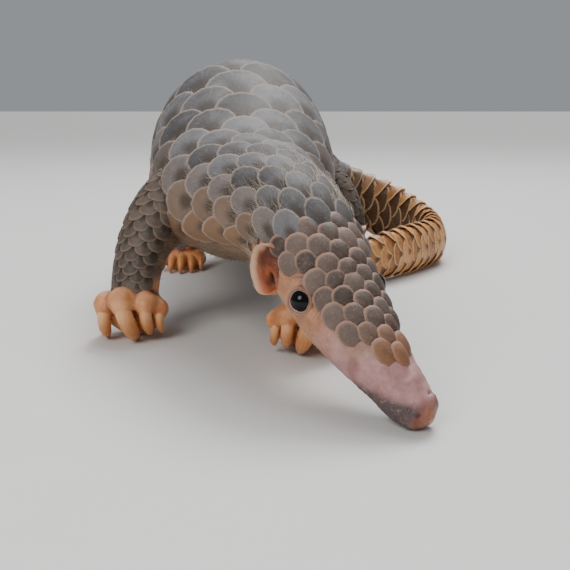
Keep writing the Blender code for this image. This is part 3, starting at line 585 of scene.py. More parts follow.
def head_spot(at, side):
    """A frame on the side of the head: the skin there, and outward, forward and downward directions."""
    s, q = at
    place, out = SPINE.skin(s, HEAD_TURN + side * q)
    out = out[0]
    ahead = -SPINE.frames(s)[3][0]
    ahead = unit(ahead - out * np.dot(ahead, out))
    down = unit(np.cross(out, ahead)) * side
    return place[0], out, ahead, down


def local(points, place, out, ahead, down):
    """Distances ahead of, below and outside a spot."""
    away = points - place
    return away @ ahead, away @ down, away @ out


def eye_frame(side):
    """The eyeball's middle, the way it looks, and directions ahead of and below it across that line."""
    _, out, ahead, down = head_spot(EYE_AT, side)
    middle = SPINE.point(EYE_AT[0], HEAD_TURN + side * EYE_AT[1], -EYE_DEPTH)
    middle = middle + ahead * EYE_SHIFT[0] + down * EYE_SHIFT[1] + out * EYE_SHIFT[2]
    toward = unit(ahead * EYE_TOWARD[0] + down * EYE_TOWARD[1])
    look = out * math.cos(EYE_TURN) + toward * math.sin(EYE_TURN)
    fore = unit(ahead - look * np.dot(ahead, look))
    return middle, look, fore, unit(np.cross(look, fore)) * side


def ear_frame(side):
    """The ear's middle, and directions outwards, to the front side of its oval, and to the oval's foot."""
    place, out, ahead, down = head_spot(EAR_AT, side)
    front = ahead * math.cos(EAR_LEAN) - down * math.sin(EAR_LEAN)
    foot = ahead * math.sin(EAR_LEAN) + down * math.cos(EAR_LEAN)
    return place, out, front, foot


def lid_angle(turn):
    """How wide the lids open, round from ahead to below: two corners, and a slightly lower upper lid."""
    corners = bell(np.cos(turn - 0.35), 1, 0.12) * 0.10 + bell(np.cos(turn - 3.35), 1, 0.12) * 0.08
    return LID_ANGLE + corners + 0.03 * np.sin(turn)


def lid_creases(past, turn):
    """Depth of the lids' folds at an angle past the opening's edge."""
    upper = ease(0.25, -0.55, np.sin(turn))
    folds = bell(past, 0.290, 0.050) * 0.00070 + bell(past, 0.50, 0.05) * 0.00030
    high = folds - bell(past, 0.40, 0.07) * 0.00034
    low = bell(past, 0.17, 0.04) * 0.00010 + bell(past, 0.31, 0.05) * 0.00008
    return upper * high + (1 - upper) * low


def brow_wrinkles(reach, turn):
    """How strongly the brow wrinkles, and a wave from -1 to 1 across its wrinkles."""
    upper = ease(0.1, -0.6, np.sin(turn))
    ring = ease(0.0076, 0.0088, reach) * ease(0.0142, 0.0116, reach)
    return upper * ring, np.cos((reach - WRINKLE_START) * 2 * math.pi / WRINKLE_STEP)


def from_eye(points, side):
    """Distance from the eyeball's middle, angle past the lids' edge, and turn round the line of sight."""
    middle, look, fore, low = eye_frame(side)
    away = points - middle
    reach = np.linalg.norm(away, axis=1)
    turn = np.arctan2(away @ low, away @ fore)
    angle = np.arccos(np.clip(away @ look / np.maximum(reach, 1e-9), -1, 1))
    return reach, angle - lid_angle(turn), turn


def shape_socket(points, side):
    """Makes room for the eyeball, lowers the skin before it, and wrinkles the brow."""
    middle = eye_frame(side)[0]
    _, out, ahead, down = head_spot(EYE_AT, side)
    reach, past, turn = from_eye(points, side)
    near = reach < 0.016
    toward = unit(ahead * EYE_TOWARD[0] + down * EYE_TOWARD[1])
    away = np.linalg.norm(points[near] - middle - toward * 0.0066 - out * 0.0015, axis=1)
    points[near] -= out * (0.0017 * bell(away, 0, 0.0042))[:, None]
    share, wave = brow_wrinkles(reach[near], turn[near])
    points[near] += out * (share * (wave - 0.3) * WRINKLE_RISE)[:, None]
    inside = (reach < EYE_RADIUS + 0.004) & (past < 0.10)
    away = points[inside] - middle
    length = np.linalg.norm(away, axis=1, keepdims=True)
    points[inside] = middle + away / length * np.minimum(length, EYE_RADIUS - 0.0009)
    return points


def make_lids(side):
    """Both lids of an eye as one ring of skin on the eyeball, its edge rounded and its outside folded."""
    middle, look, fore, low = eye_frame(side)
    count = 120
    turn = round_turns(count)
    across = fore * np.cos(turn)[:, None] + low * np.sin(turn)[:, None]
    outside = [(past, LID_THICK) for past in np.arange(*LID_STEPS)]
    rings = []
    for past, rise in (*LID_EDGE, *outside, *LID_INSIDE):
        angle = lid_angle(turn) + past
        reach = EYE_RADIUS + rise - (lid_creases(past, turn) if rise == LID_THICK else 0)
        way = look * np.cos(angle)[:, None] + across * np.sin(angle)[:, None]
        rings.append(middle + way * np.broadcast_to(reach, (count,))[:, None])
    return new_object("lids", outward(mesh_of("lids", *looped(rings))))


def in_ear(x, y):
    """How far out a spot lies in the ear's oval, and in its hole: 1 is the edge."""
    oval = np.hypot(x / EAR_SIZE[0], y / EAR_SIZE[1])
    hole = np.hypot((x - EAR_HOLE[0]) / EAR_HOLE_SIZE[0], (y - EAR_HOLE[1]) / EAR_HOLE_SIZE[1])
    return oval, hole


def shape_ear_bed(points, side):
    """Hollows the skin inside the ear's rim, sinks the ear hole, and raises the cheek before it."""
    place, out, front, foot = ear_frame(side)
    x, y, z = local(points, place, out, front, foot)
    near = (np.hypot(x, y) < 0.017) & (z > -0.007)
    x, y = x[near], y[near]
    oval, hole = in_ear(x, y)
    cup = ease(1.05, 0.30, oval)
    depth = 0.0013 * cup + 0.0058 * ease(1.0, 0.45, hole) - 0.0003 * bell(hole, 1.35, 0.25)
    ridge = 0.00045 * np.cos(np.hypot(x - EAR_HOLE[0], y - EAR_HOLE[1]) * 2 * math.pi / 0.0036) * cup
    cheek = bell(oval, 1.16, 0.16) * ease(0.0, 0.0035, x) * ease(0.002, -0.003, y) * 0.0008
    points[near] -= out * (depth - cheek - ridge * ease(0.9, 1.5, hole))[:, None]
    return points


def distance_to_line(points, line):
    """Distance of each point from a line through places."""
    best = np.full(len(points), np.inf)
    for a, b in zip(line, line[1:]):
        step = b - a
        t = np.clip(((points - a) @ step) / (step @ step), 0, 1)
        best = np.minimum(best, np.linalg.norm(points - a - t[:, None] * step, axis=1))
    return best


def mouth_line():
    """Places along the mouth, from its right corner round the chin to its left one."""
    spots = [(s, -q) for s, q in MOUTH] + [(s, q) for s, q in MOUTH[-2::-1]]
    knots = np.arange(len(spots), dtype=float)
    fine = smooth_curve(knots, np.array(spots), np.linspace(0, len(spots) - 1, 41))
    return SPINE.skin(fine[:, 0], fine[:, 1])[0]


def shape_snout(points, out, s):
    """Shapes the mouth's line and lips, the nostrils, the nose pad's edge, and folds and low bumps."""
    front = s < 0.045
    away = distance_to_line(points[front], mouth_line())
    depth = -0.0008 * bell(away, 0, 0.00055) + 0.0003 * bell(away, 0.0014, 0.0007)
    for side in (-1, 1):
        nostril = SPINE.point(NOSTRIL_AT[0], side * NOSTRIL_AT[1])
        off = np.linalg.norm(points[front] - nostril, axis=1)
        depth += -0.0020 * bell(off, 0, 0.0011) + 0.0005 * bell(off, 0.0021, 0.0008)
    depth -= 0.00012 * bell(s[front], 0.0070, 0.0012)
    wave = np.sin(s[front] * 2 * math.pi / 0.0034 + 2.5 * np.sin(s[front] * 260))
    fold = wave * ease(0.006, 0.012, s[front])
    depth += 0.00007 * fold * ease(0.044, 0.030, s[front])
    for place, turn, rise, wide in SNOUT_BUMPS:
        off = np.linalg.norm(points[front] - SPINE.point(place, turn), axis=1)
        depth += rise * (bell(off, 0, wide) - 0.35 * bell(off, wide * 1.35, wide * 0.4))
    points[front] += out[front] * depth[:, None]
    return points


def body_grid():
    """The body's skin as a grid, with the place and the turn of each point."""
    turns = ruled(TURN_STEPS)
    turns = np.concatenate([turns, -turns[-2:0:-1]])
    places = ruled(ROW_STEPS)
    places = places * (SPINE.length - 0.0004) / places[-1] + 0.0002
    s, q = np.meshgrid(places, turns, indexing="ij")
    shape = s.shape
    s, q = s.ravel(), q.ravel()
    points, out = SPINE.skin(s, q)
    points = shape_snout(points, out, s)
    for side in (-1, 1):
        points = shape_ear_bed(points, side)
        points = shape_socket(points, side)
    places, faces = lofted(points.reshape(*shape, 3))
    s = np.concatenate([s, [0, SPINE.length]])
    q = np.concatenate([q, [0, 0]])
    body = new_object("skin", outward(mesh_of("skin", places, faces)))
    return body, places, s, q


def make_ear(side):
    """The ear's rim: a flared band of skin that stands round the hollow and is open towards the eye."""
    place, out, front, foot = ear_frame(side)
    degrees, tall, thick = np.array(EAR_BAND, float).T
    fine = np.linspace(degrees[0], degrees[-1], 64)
    shape = smooth_curve(degrees, np.stack([tall, thick], 1), fine)
    rings = []
    for turn, (height, half) in zip(np.radians(fine), shape * MM):
        away = front * math.cos(turn) + foot * math.sin(turn)
        middle = place + front * EAR_SIZE[0] * math.cos(turn) + foot * EAR_SIZE[1] * math.sin(turn)
        middle = middle - out * EAR_SET
        waver = 0.00008 * math.sin(turn * 7) + 0.00005 * math.sin(turn * 17 + 1)
        ring = []
        for a in round_turns(20):
            rise = math.cos(a) * (height + waver if math.cos(a) > 0 else EAR_ROOT)
            share = max(rise, 0) / height
            wall = half * (1.20 - 0.80 * share)
            flare = 0.0022 * (max(rise, 0) / 0.006) ** 2
            ring.append(middle + out * rise + away * (math.sin(a) * wall + flare))
        rings.append(ring)
    places, faces = lofted(rings)
    return new_object("ear", outward(mesh_of("ear", places, faces)))


def plain_tube(tube, start, end, rings, columns, easing=False):
    """Places and faces of a length of a tube. With easing, its rings lie closer together at its ends."""
    shares = np.linspace(0, 1, rings)
    if easing:
        shares = (1 - np.cos(shares * math.pi)) / 2
    s = np.repeat(start + (end - start) * shares, columns)
    turn = np.tile(round_turns(columns), rings)
    return lofted(tube.at_angle(s, turn)[0].reshape(rings, columns, 3))


def digit_tube(kind, inner, ankle, digit):
    """A digit and its claw as one tube, and the place on it where the claw begins."""
    off, ahead, high, tip_off, tip_ahead, tip_high, wide = digit
    knuckle = ankle + np.array([inner * off, -ahead, high])
    tip = ankle + np.array([inner * tip_off, -tip_ahead, tip_high + TIP_RISE])
    inside = ankle + np.array([inner * off * 0.6, 10 - ahead, high * 0.85])
    bow = CLAW_BOW * np.linalg.norm(tip - knuckle) * np.array(CLAW_LEAD[kind])
    body = wide + FLESH
    way = [(*inside, body, body, body, 0), (*knuckle, body + 0.5, body + 0.2, body + 0.2, 0)]
    for (share, push), (across, deep) in zip(CLAW_WAY, CLAW_SECTION):
        place = knuckle + (tip - knuckle) * share + bow * push
        way.append((*place, wide * across, wide * deep, wide * deep, 0))
    tube = Tube(way, up=(1, 0, 0), move=MOVE)
    return tube, tube.stations[2]


def palm_tube(kind, ankle):
    palm = FORE_PALM if kind == "fore" else HIND_PALM
    return Tube([(ankle[0], ankle[1] - ahead, z, w, a, b, 0) for ahead, z, w, a, b in palm], move=MOVE)


def foot_parts(kind, stations):
    """The spot on the floor below the ankle, and the digits."""
    ankle = np.array([stations[-1][0], stations[-1][1], 0.0])
    return ankle, FORE_DIGITS if kind == "fore" else HIND_DIGITS


def make_limb(kind, stations, facing, inner):
    """Leg, foot and toes as one smooth closed mesh."""
    leg = Tube(stations, up=facing, move=MOVE)
    ankle, digits = foot_parts(kind, stations)
    parts = [plain_tube(leg, 0, leg.length, 40, 36)]
    sole = palm_tube(kind, ankle)
    parts.append(plain_tube(sole, 0, sole.length, 24, 32, True))
    for digit in digits:
        tube, split = digit_tube(kind, inner, ankle, digit)
        parts.append(plain_tube(tube, 0, split + 0.0004, 16, 20))
    places, faces = [], []
    for part, its_faces in parts:
        start = sum(len(p) for p in places)
        places.append(part)
        faces += [tuple(i + start for i in face) for face in its_faces]
    limb = new_object("limb", mesh_of("limb", above_floor(np.concatenate(places)), faces))
    remesh = limb.modifiers.new("fuse", "REMESH")
    remesh.mode, remesh.voxel_size = "VOXEL", FUSE_GRAIN
    relax = limb.modifiers.new("relax", "SMOOTH")
    relax.factor, relax.iterations = 0.5, FUSE_ROUNDS
    work_in(limb)
    keep_above_floor(limb.data)
    outward(limb.data)
    return limb


def near_places(tree_places, queries):
    """For each query, the index of the nearest place and its distance."""
    tree = KDTree(len(tree_places))
    for n, place in enumerate(tree_places):
        tree.insert(place, n)
    tree.balance()
    found = [tree.find(place)[1:] for place in queries]
    return np.array([f[0] for f in found]), np.array([f[1] for f in found])


def relaxed(mesh, places, weights, rounds):
    """Places evened out towards their neighbours, each by its weight."""
    edges = np.empty(len(mesh.edges) * 2, np.int32)
    mesh.edges.foreach_get("vertices", edges)
    edges = edges.reshape(-1, 2)
    busy = weights[edges].max(axis=1) > 0
    edges = edges[busy]
    count = np.zeros(len(places))
    np.add.at(count, edges.ravel(), 1)
    count = np.maximum(count, 1)[:, None]
    for _ in range(rounds):
        total = np.zeros_like(places)
        np.add.at(total, edges[:, 0], places[edges[:, 1]])
        np.add.at(total, edges[:, 1], places[edges[:, 0]])
        places = places + (total / count - places) * weights[:, None] * (weights > 0)[:, None]
    return places


def hollows(mesh, places, weights):
    """How far the skin lies below an evened-out copy of itself, or above it where the result is negative."""
    even = relaxed(mesh, places, weights, 10)
    normals = np.empty(len(places) * 3, np.float32)
    mesh.vertex_normals.foreach_get("vector", normals)
    return np.sum((even - places) * normals.reshape(-1, 3), axis=1)


# The parts of the skin are numbered: the body is 0, ears and lids come next, and the limbs start here.
FIRST_LIMB = 5

# A spot of the joined skin that lies farther than this from all the parts' spots is new.
SAME_SPOT = 2e-6

# Head and nape end this far down the spine.
HEAD_REACH = 0.13


def make_skin():
    """One closed skin over body, ears, legs and feet, with marks that say where its colours change."""
    body, body_places, s, q = body_grid()
    added = [make_ear(-1), make_ear(1), make_lids(-1), make_lids(1)]
    for kind, _, stations, facing, inner in LIMBS:
        added.append(make_limb(kind, stations, facing, inner))
    sources = [body_places] + [places_of(other.data) for other in added]
    for other in added:
        join = body.modifiers.new("join", "BOOLEAN")
        join.object, join.operation, join.solver = other, "UNION", "MANIFOLD"
    work_in(body)
    for other in added:
        discard(other)
    mesh = body.data
    places = places_of(mesh)
    starts = np.cumsum([0] + [len(source) for source in sources])
    nearest, gap = near_places(np.concatenate(sources), places)
    owner = np.searchsorted(starts, nearest, side="right") - 1
    new_spots = gap > SAME_SPOT
    _, to_seam = near_places(places[new_spots], places)
    ahead = np.linalg.norm(places - SPINE.point(0.05, 0), axis=1) < 0.06
    reach = np.where(ahead & (owner < FIRST_LIMB), HEAD_BLEND, BODY_BLEND)
    weights = np.clip(1 - to_seam / reach, 0, 1) * 0.6
    places = above_floor(relaxed(mesh, places, weights, 14))
    move_to(mesh, places)
    on_body = owner == 0
    on_head = np.flatnonzero((owner > 0) & (owner < FIRST_LIMB))
    head_rows = np.flatnonzero(s < HEAD_REACH)
    at, turn = np.full(len(places), 1.0), np.full(len(places), 2.0)
    at[on_body], turn[on_body] = s[nearest[on_body]], q[nearest[on_body]]
    below, _ = near_places(body_places[head_rows], places[on_head])
    at[on_head], turn[on_head] = s[head_rows[below]], q[head_rows[below]]
    lay_marks(mesh, places, owner, at, turn)
    mesh.shade_smooth()
    return body


# Marks that are laid spot by spot. The others each come from one rule.
MARKED_SPOTS = ("ear", "pale", "ear_hollow_shade", "deep", "wet", "fold", "crevice_shade", "knuckle")


def lay_marks(mesh, places, owner, at, turn):
    """Masks for the skin's colours, from where each point lies on the animal."""
    round_q = np.abs(turn)
    snout = ease(0.058, 0.036, at)
    nose = ease(0.0056, 0.0020, at)
    # Soil and painted shade darken the lower sides and underside of the snout.
    soil_and_shade_side = ease(-0.26, 0.12, round_q - line_through(SOIL_AND_SHADE_EDGE)(at))
    grime = soil_and_shade_side * ease(0.045, 0.028, at) * (1 - 0.7 * nose)
    crown_side = round_q - 0.2 * ease(0.05, 0.03, at)
    cap = ease(0.027, 0.034, at) * ease(0.72, 0.56, crown_side) * (at < HEAD_REACH)
    marks = {name: np.zeros(len(places)) for name in MARKED_SPOTS}

    def add(name, values):
        marks[name] = np.maximum(marks[name], values)

    for n, side in enumerate((-1, 1)):
        place, out, front, foot = ear_frame(side)
        x, y, z = local(places, place, out, front, foot)
        on_rim = owner == 1 + n
        oval, hole = in_ear(x, y)
        add("ear", ease(1.15, 0.90, oval) * (z > -0.008) * (z < 0.0065))
        add("pale", on_rim * ease(0.0018, 0.0046, z) * ease(0.98, 1.14, oval))
        add("pale", on_rim * ease(0.0005, 0.0025, z) * ease(-0.0050, -0.0085, y))
        # Painted shade, nearly black, in the sunken ear hole.
        add("deep", ease(1.25, 0.85, hole) * (z < 0.0010) * (z > -0.012))
        # Painted shade in the upper part of the ear's hollow, below its rim.
        add("ear_hollow_shade", ease(1.12, 0.85, oval) * ease(0.0060, 0.0030, z) * ease(0.0040, -0.0015, y))
        reach, past, around = from_eye(places, side)
        close = (reach > EYE_RADIUS - 0.0012) & (reach < EYE_RADIUS + 0.0014)
        add("wet", ease(0.045, -0.005, past) * close)
        # Painted shade in the lids' folds and in the troughs of the brow's wrinkles.
        add("fold", np.clip(lid_creases(past, around) / 0.0005, 0, 1) * (past > 0.02) * (reach < 0.0072))
        share, wave = brow_wrinkles(reach, around)
        add("fold", share * ease(0.2, -0.9, wave) * 0.9)
    belly = ease(0.95, 1.25, round_q) * ease(0.096, 0.125, at) * (at < 0.9)
    height = places[:, 2]
    leg = (owner >= FIRST_LIMB).astype(float)
    foot = leg * ease(0.034, 0.026, height)
    hollow = hollows(mesh, places, 0.6 * (foot > 0))
    # Painted shade in the hollows between the digits and in the foot's creases.
    add("crevice_shade", foot * ease(0.00002, 0.00030, hollow))
    # Paler on the foot's bulges and higher up: partly pale knuckle skin, partly a painted highlight where the
    # light falls from above.
    bulge = ease(0.00050, 0.00110, -hollow)
    add("knuckle", foot * np.clip(bulge + 0.4 * ease(0.015, 0.024, height), 0, 1))
    marks.update(snout=snout, nose=nose, grime=grime, cap=cap, belly=belly, leg=leg, foot=foot)
    marks.update(face=at < 0.11)
    for name, values in marks.items():
        mark(mesh, name, values)


def lie_of_coat(places):
    """The way the coat lies at places near the body: back along the spine."""
    spine = SPINE.rows[::4, :3]
    headings = SPINE.headings[::4]
    nearest, _ = near_places(spine, places)
    return unit(headings[nearest])


# Trees of nodes


def socket_of(node, name):
    """A node's input, by its identifier or by its name."""
    for one in node.inputs:
        if one.identifier == name or (one.name == name and one.enabled):
            return one
    raise KeyError(name)


class Tree:
    """A node tree in the making: `add` sets or links a node's inputs by name and returns its first output."""

    def __init__(self, tree):
        self.tree = tree

    def put(self, value, socket):
        """Sets an input to a value, or links it to an output."""
        if isinstance(value, bpy.types.NodeSocket):
            self.tree.links.new(value, socket)
        else:
            socket.default_value = value

    def add(self, kind, inputs=(), out=None, **settings):
        node = self.tree.nodes.new(kind)
        for key, value in settings.items():
            setattr(node, key, value)
        pairs = inputs.items() if isinstance(inputs, dict) else enumerate(inputs)
        for key, value in pairs:
            self.put(value, node.inputs[key] if isinstance(key, int) else socket_of(node, key))
        if out is not None:
            return next(o for o in node.outputs if o.enabled and (o.name == out or o.identifier == out))
        enabled = [o for o in node.outputs if o.enabled]
        return enabled[0] if enabled else node

    def maths(self, operation, *inputs):
        return self.add("ShaderNodeMath", inputs, operation=operation)

    def plus(self, first, second):
        return self.maths("ADD", first, second)

    def minus(self, first, second):
        return self.maths("SUBTRACT", first, second)

    def times(self, first, second):
        return self.maths("MULTIPLY", first, second)

    def divided(self, first, second):
        return self.maths("DIVIDE", first, second)

    def vector(self, operation, *inputs):
        return self.add("ShaderNodeVectorMath", inputs, operation=operation)

    def noise(self, where, scale, detail=3.0, rough=0.55):
        """Fractal noise at a scale per metre, or per unit of a map."""
        inputs = {"Vector": where, "Scale": scale, "Detail": detail, "Roughness": rough}
        return self.add("ShaderNodeTexNoise", inputs)

    def parts(self, vector):
        """The x, y and z of a vector."""
        split = self.tree.nodes.new("ShaderNodeSeparateXYZ")
        self.put(vector, split.inputs[0])
        return split.outputs


class ShapeTree(Tree):
    """A geometry tree with named inputs."""

    def __init__(self, name):
        super().__init__(bpy.data.node_groups.new(name, "GeometryNodeTree"))
        self.tree.interface.new_socket("Geometry", in_out="INPUT", socket_type="NodeSocketGeometry")
        self.tree.interface.new_socket("Geometry", in_out="OUTPUT", socket_type="NodeSocketGeometry")
        self.start = self.tree.nodes.new("NodeGroupInput")

    def size(self, name, default=None, kind="NodeSocketFloat"):
        made = self.tree.interface.new_socket(name, in_out="INPUT", socket_type=kind)
        if default is not None:
            made.default_value = default
        return next(o for o in self.start.outputs if o.identifier == made.identifier)

    def named(self, name, kind="FLOAT"):
        return self.add("GeometryNodeInputNamedAttribute", {"Name": name}, data_type=kind)

    def store(self, geometry, name, value):
        inputs = {"Geometry": geometry, "Name": name, "Value": value}
        return self.add("GeometryNodeStoreNamedAttribute", inputs, data_type="FLOAT", domain="POINT")

    def chance(self, low, high, seed, number):
        """A number drawn for each point. Each use of a seed has its own number."""
        inputs = {"Min_001": low, "Max_001": high, "Seed": self.plus(seed, number)}
        return self.add("FunctionNodeRandomValue", inputs)

    def varied(self, middle, spread, seed, number):
        """A middle value, changed for each point by up to the spread either way."""
        return self.plus(middle, self.times(spread, self.chance(-1.0, 1.0, seed, number)))

    def end(self, geometry):
        node = self.tree.nodes.new("NodeGroupOutput")
        self.tree.links.new(geometry, node.inputs[0])
        return self.tree


def grown(tree, on, name, **values):
    """The plain mesh that a geometry tree makes on an object, as a new object."""
    change = on.modifiers.new("grow", "NODES")
    change.node_group = tree
    sockets = {item.name: item.identifier for item in tree.interface.items_tree if item.in_out == "INPUT"}
    for key, value in values.items():
        change[sockets[key.replace("_", " ").title()]] = value
    mesh = shaped_mesh(on)
    mesh.name = name
    return new_object(name, mesh)


def coat_tree():
    """Plates on a guide surface: a staggered lattice of them, bent over it and raised towards their tips.

    A plate's own x, y and z are read as columns, rows and height over the guide surface.
    """
    t = ShapeTree("scale coat")
    guide = t.start.outputs[0]
    plate = t.size("Plate", kind="NodeSocketObject")
    edge_plate = t.size("Edge Plate", kind="NodeSocketObject")
    first, columns, rows = t.size("First Column", 0.0), t.size("Columns", 13.0), t.size("Rows", 19.0)
    last_tip = t.size("Last Tip", 19.0)
    front, slope = t.size("Front Columns", 99.0), t.size("Front Slope", 0.0)
    edge_column, edge_period = t.size("Edge Column", 99.0), t.size("Edge Period", 400.0)
    half_width, edge_width = t.size("Half Width", 1.0), t.size("Edge Width", 1.0)
    reach, edge_reach = t.size("Reach", 1.35), t.size("Edge Reach", 1.35)
    rise, edge_rise = t.size("Rise", 0.0017), t.size("Edge Rise", 0.0)
    thickness = t.size("Thickness", 0.0011)
    place_jitter, size_jitter = t.size("Place Jitter", 0.05), t.size("Size Jitter", 0.05)
    lift_jitter = t.size("Lift Jitter", 0.15)
    column_start, column_span = t.size("Column Start", 0.0), t.size("Column Span", 1.0)
    row_start, row_span = t.size("Row Start", 0.0), t.size("Row Span", 1.0)
    seed = t.size("Seed", 1, "NodeSocketInt")
    material = t.size("Material", kind="NodeSocketMaterial")

    # The lattice's points, each with its column, the row of its tip and its marks
    longest = t.plus(rows, 1.0)
    points = t.add("GeometryNodePoints", {"Count": t.times(columns, longest)})
    index = t.add("GeometryNodeInputIndex")
    number = t.maths("FLOOR", t.divided(t.plus(index, 0.5), longest))
    row = t.minus(index, t.times(number, longest))
    odd = t.maths("FLOORED_MODULO", number, 2.0)
    column = t.plus(first, number)
    tip = t.minus(t.plus(row, 1.0), t.times(odd, 0.5))
    half_period = t.times(edge_period, 0.5)
    off_edge = t.plus(t.minus(t.maths("ABSOLUTE", column), edge_column), half_period)
    off_edge = t.minus(t.maths("FLOORED_MODULO", off_edge, edge_period), half_period)
    margin = t.maths("LESS_THAN", t.maths("ABSOLUTE", off_edge), 0.25)
    kept = t.maths("LESS_THAN", tip, t.plus(last_tip, 0.1))
    widest = t.plus(front, t.times(slope, tip))
    kept = t.times(kept, t.maths("LESS_THAN", t.maths("ABSOLUTE", column), widest))

    marks = (
        ("column", t.varied(column, place_jitter, seed, 1)),
        ("tip", t.varied(tip, place_jitter, seed, 2)),
        ("size", t.varied(1.0, size_jitter, seed, 3)),
        ("lift", t.varied(1.0, lift_jitter, seed, 4)),
        ("tone", t.chance(0.0, 1.0, seed, 5)),
        ("margin", margin),
        ("cell column", number),
        ("cell row", t.minus(tip, 0.5)),
        ("kept", kept),
    )
    for name, value in marks:
        points = t.store(points, name, value)

    # A plate on each point
    shown = t.named("kept")
    on_edge = t.times(shown, t.named("margin"))
    off = t.times(shown, t.minus(1.0, t.named("margin")))
    join = t.tree.nodes.new("GeometryNodeJoinGeometry")
    for shape, chosen in ((plate, off), (edge_plate, on_edge)):
        form = t.add("GeometryNodeObjectInfo", {"Object": shape}, out="Geometry")
        set_out = t.add("GeometryNodeInstanceOnPoints", {
            "Points": points, "Selection": t.maths("GREATER_THAN", chosen, 0.5), "Instance": form,
        })
        t.tree.links.new(set_out, join.inputs[0])
    plates = t.add("GeometryNodeRealizeInstances", {"Geometry": join.outputs[0]})

    # Each plate bent over the guide surface
    x, y, z = t.parts(t.add("GeometryNodeInputPosition"))
    edge = t.named("margin")
    grown_by = t.named("size")
    wide = t.plus(half_width, t.times(edge, t.minus(edge_width, half_width)))
    long = t.plus(reach, t.times(edge, t.minus(edge_reach, reach)))
    plate_column = t.plus(t.named("column"), t.times(x, t.times(wide, grown_by)))
    past_root = t.minus(1.0, t.times(t.minus(1.0, y), t.times(long, grown_by)))
    plate_row = t.plus(t.minus(t.named("tip"), 1.0), past_root)
    height = t.times(t.plus(rise, t.times(edge_rise, edge)), t.named("lift"))
    sunk = t.times(t.maths("MINIMUM", past_root, 0.0), 1.5)
    height = t.times(height, t.plus(past_root, sunk))
    height = t.plus(height, t.times(thickness, z))
    u = t.divided(t.minus(plate_column, column_start), column_span)
    v = t.divided(t.minus(plate_row, row_start), row_span)
    spot = t.add("ShaderNodeCombineXYZ", {"X": u, "Y": v})
    sampled = []
    for value in (t.add("GeometryNodeInputPosition"), t.named("outward", "FLOAT_VECTOR")):
        sampled.append(t.add("GeometryNodeSampleUVSurface", {
            "Mesh": guide, "Value": value, "Source UV Map": t.named("lattice", "FLOAT_VECTOR"),
            "Sample UV": spot,
        }, data_type="FLOAT_VECTOR"))
    lifted = t.add("ShaderNodeVectorMath", {"Vector": sampled[1], "Scale": height}, operation="SCALE")
    place = t.vector("ADD", sampled[0], lifted)
    plates = t.add("GeometryNodeSetPosition", {"Geometry": plates, "Position": place})
    plates = t.add("GeometryNodeSetMaterial", {"Geometry": plates, "Material": material})
    return t.end(plates)


def hair_tree():
    """Hairs on root points, which carry the way each one points, its outward direction and its length."""
    t = ShapeTree("hair coat")
    roots = t.add("GeometryNodeMeshToPoints", {"Mesh": t.start.outputs[0]})
    hair = t.size("Hair", kind="NodeSocketObject")
    width, width_spread = t.size("Width", 0.00012), t.size("Width Spread", 0.3)
    seed = t.size("Seed", 1, "NodeSocketInt")
    material = t.size("Material", kind="NodeSocketMaterial")
    thick = t.times(width, t.varied(1.0, width_spread, seed, 1))
    form = t.add("GeometryNodeObjectInfo", {"Object": hair}, out="Geometry")
    facing = t.add("FunctionNodeAxesToRotation", {
        "Primary Axis": t.named("ahead", "FLOAT_VECTOR"), "Secondary Axis": t.named("away", "FLOAT_VECTOR"),
    }, primary_axis="Z", secondary_axis="Y")
    scale = t.add("ShaderNodeCombineXYZ", {"X": thick, "Y": t.named("long"), "Z": t.named("long")})
    roots = t.store(roots, "tone", t.chance(0.0, 1.0, seed, 2))
    hairs = t.add("GeometryNodeInstanceOnPoints", {
        "Points": roots, "Instance": form, "Rotation": facing, "Scale": scale,
    })
    hairs = t.add("GeometryNodeRealizeInstances", {"Geometry": hairs})
    hairs = t.add("GeometryNodeSetMaterial", {"Geometry": hairs, "Material": material})
    return t.end(hairs)


# Scales

# Points round a plate's rim: degrees from its free tip, closer together on the free side.
RIM_DEGREES = (0, 24, 47, 69, 92, 118, 150)

# The rings of a plate's top, as shares of the way from its crown to its rim.
PLATE_RINGS = (0.52, 0.86, 1.0)

# A plate's own map runs outwards: 0 on its crown, 1 at its rim, and these on its underside.
UNDER_RIM = 1.1
UNDER_MIDDLE = 1.6

# A plate's cell of the flat layout: how far across it top and underside lie, how far down it both lie, and
# the share of the cell that one unit of the plate's own map takes on the top and on the underside.
TOP_ACROSS, UNDER_ACROSS, BOTH_DOWN = 0.36, 0.86, 0.36
TOP_SHARE, UNDER_SHARE = 0.32, 0.24

# The lattice's guide surface: cells past the outermost scales, and its grid's steps in each cell.
GUIDE_MARGIN = 2.0
GUIDE_STEPS = 4

# Faces of a plate that meet at more than this angle keep a crisp edge.
SHARP_ANGLE = math.radians(48)


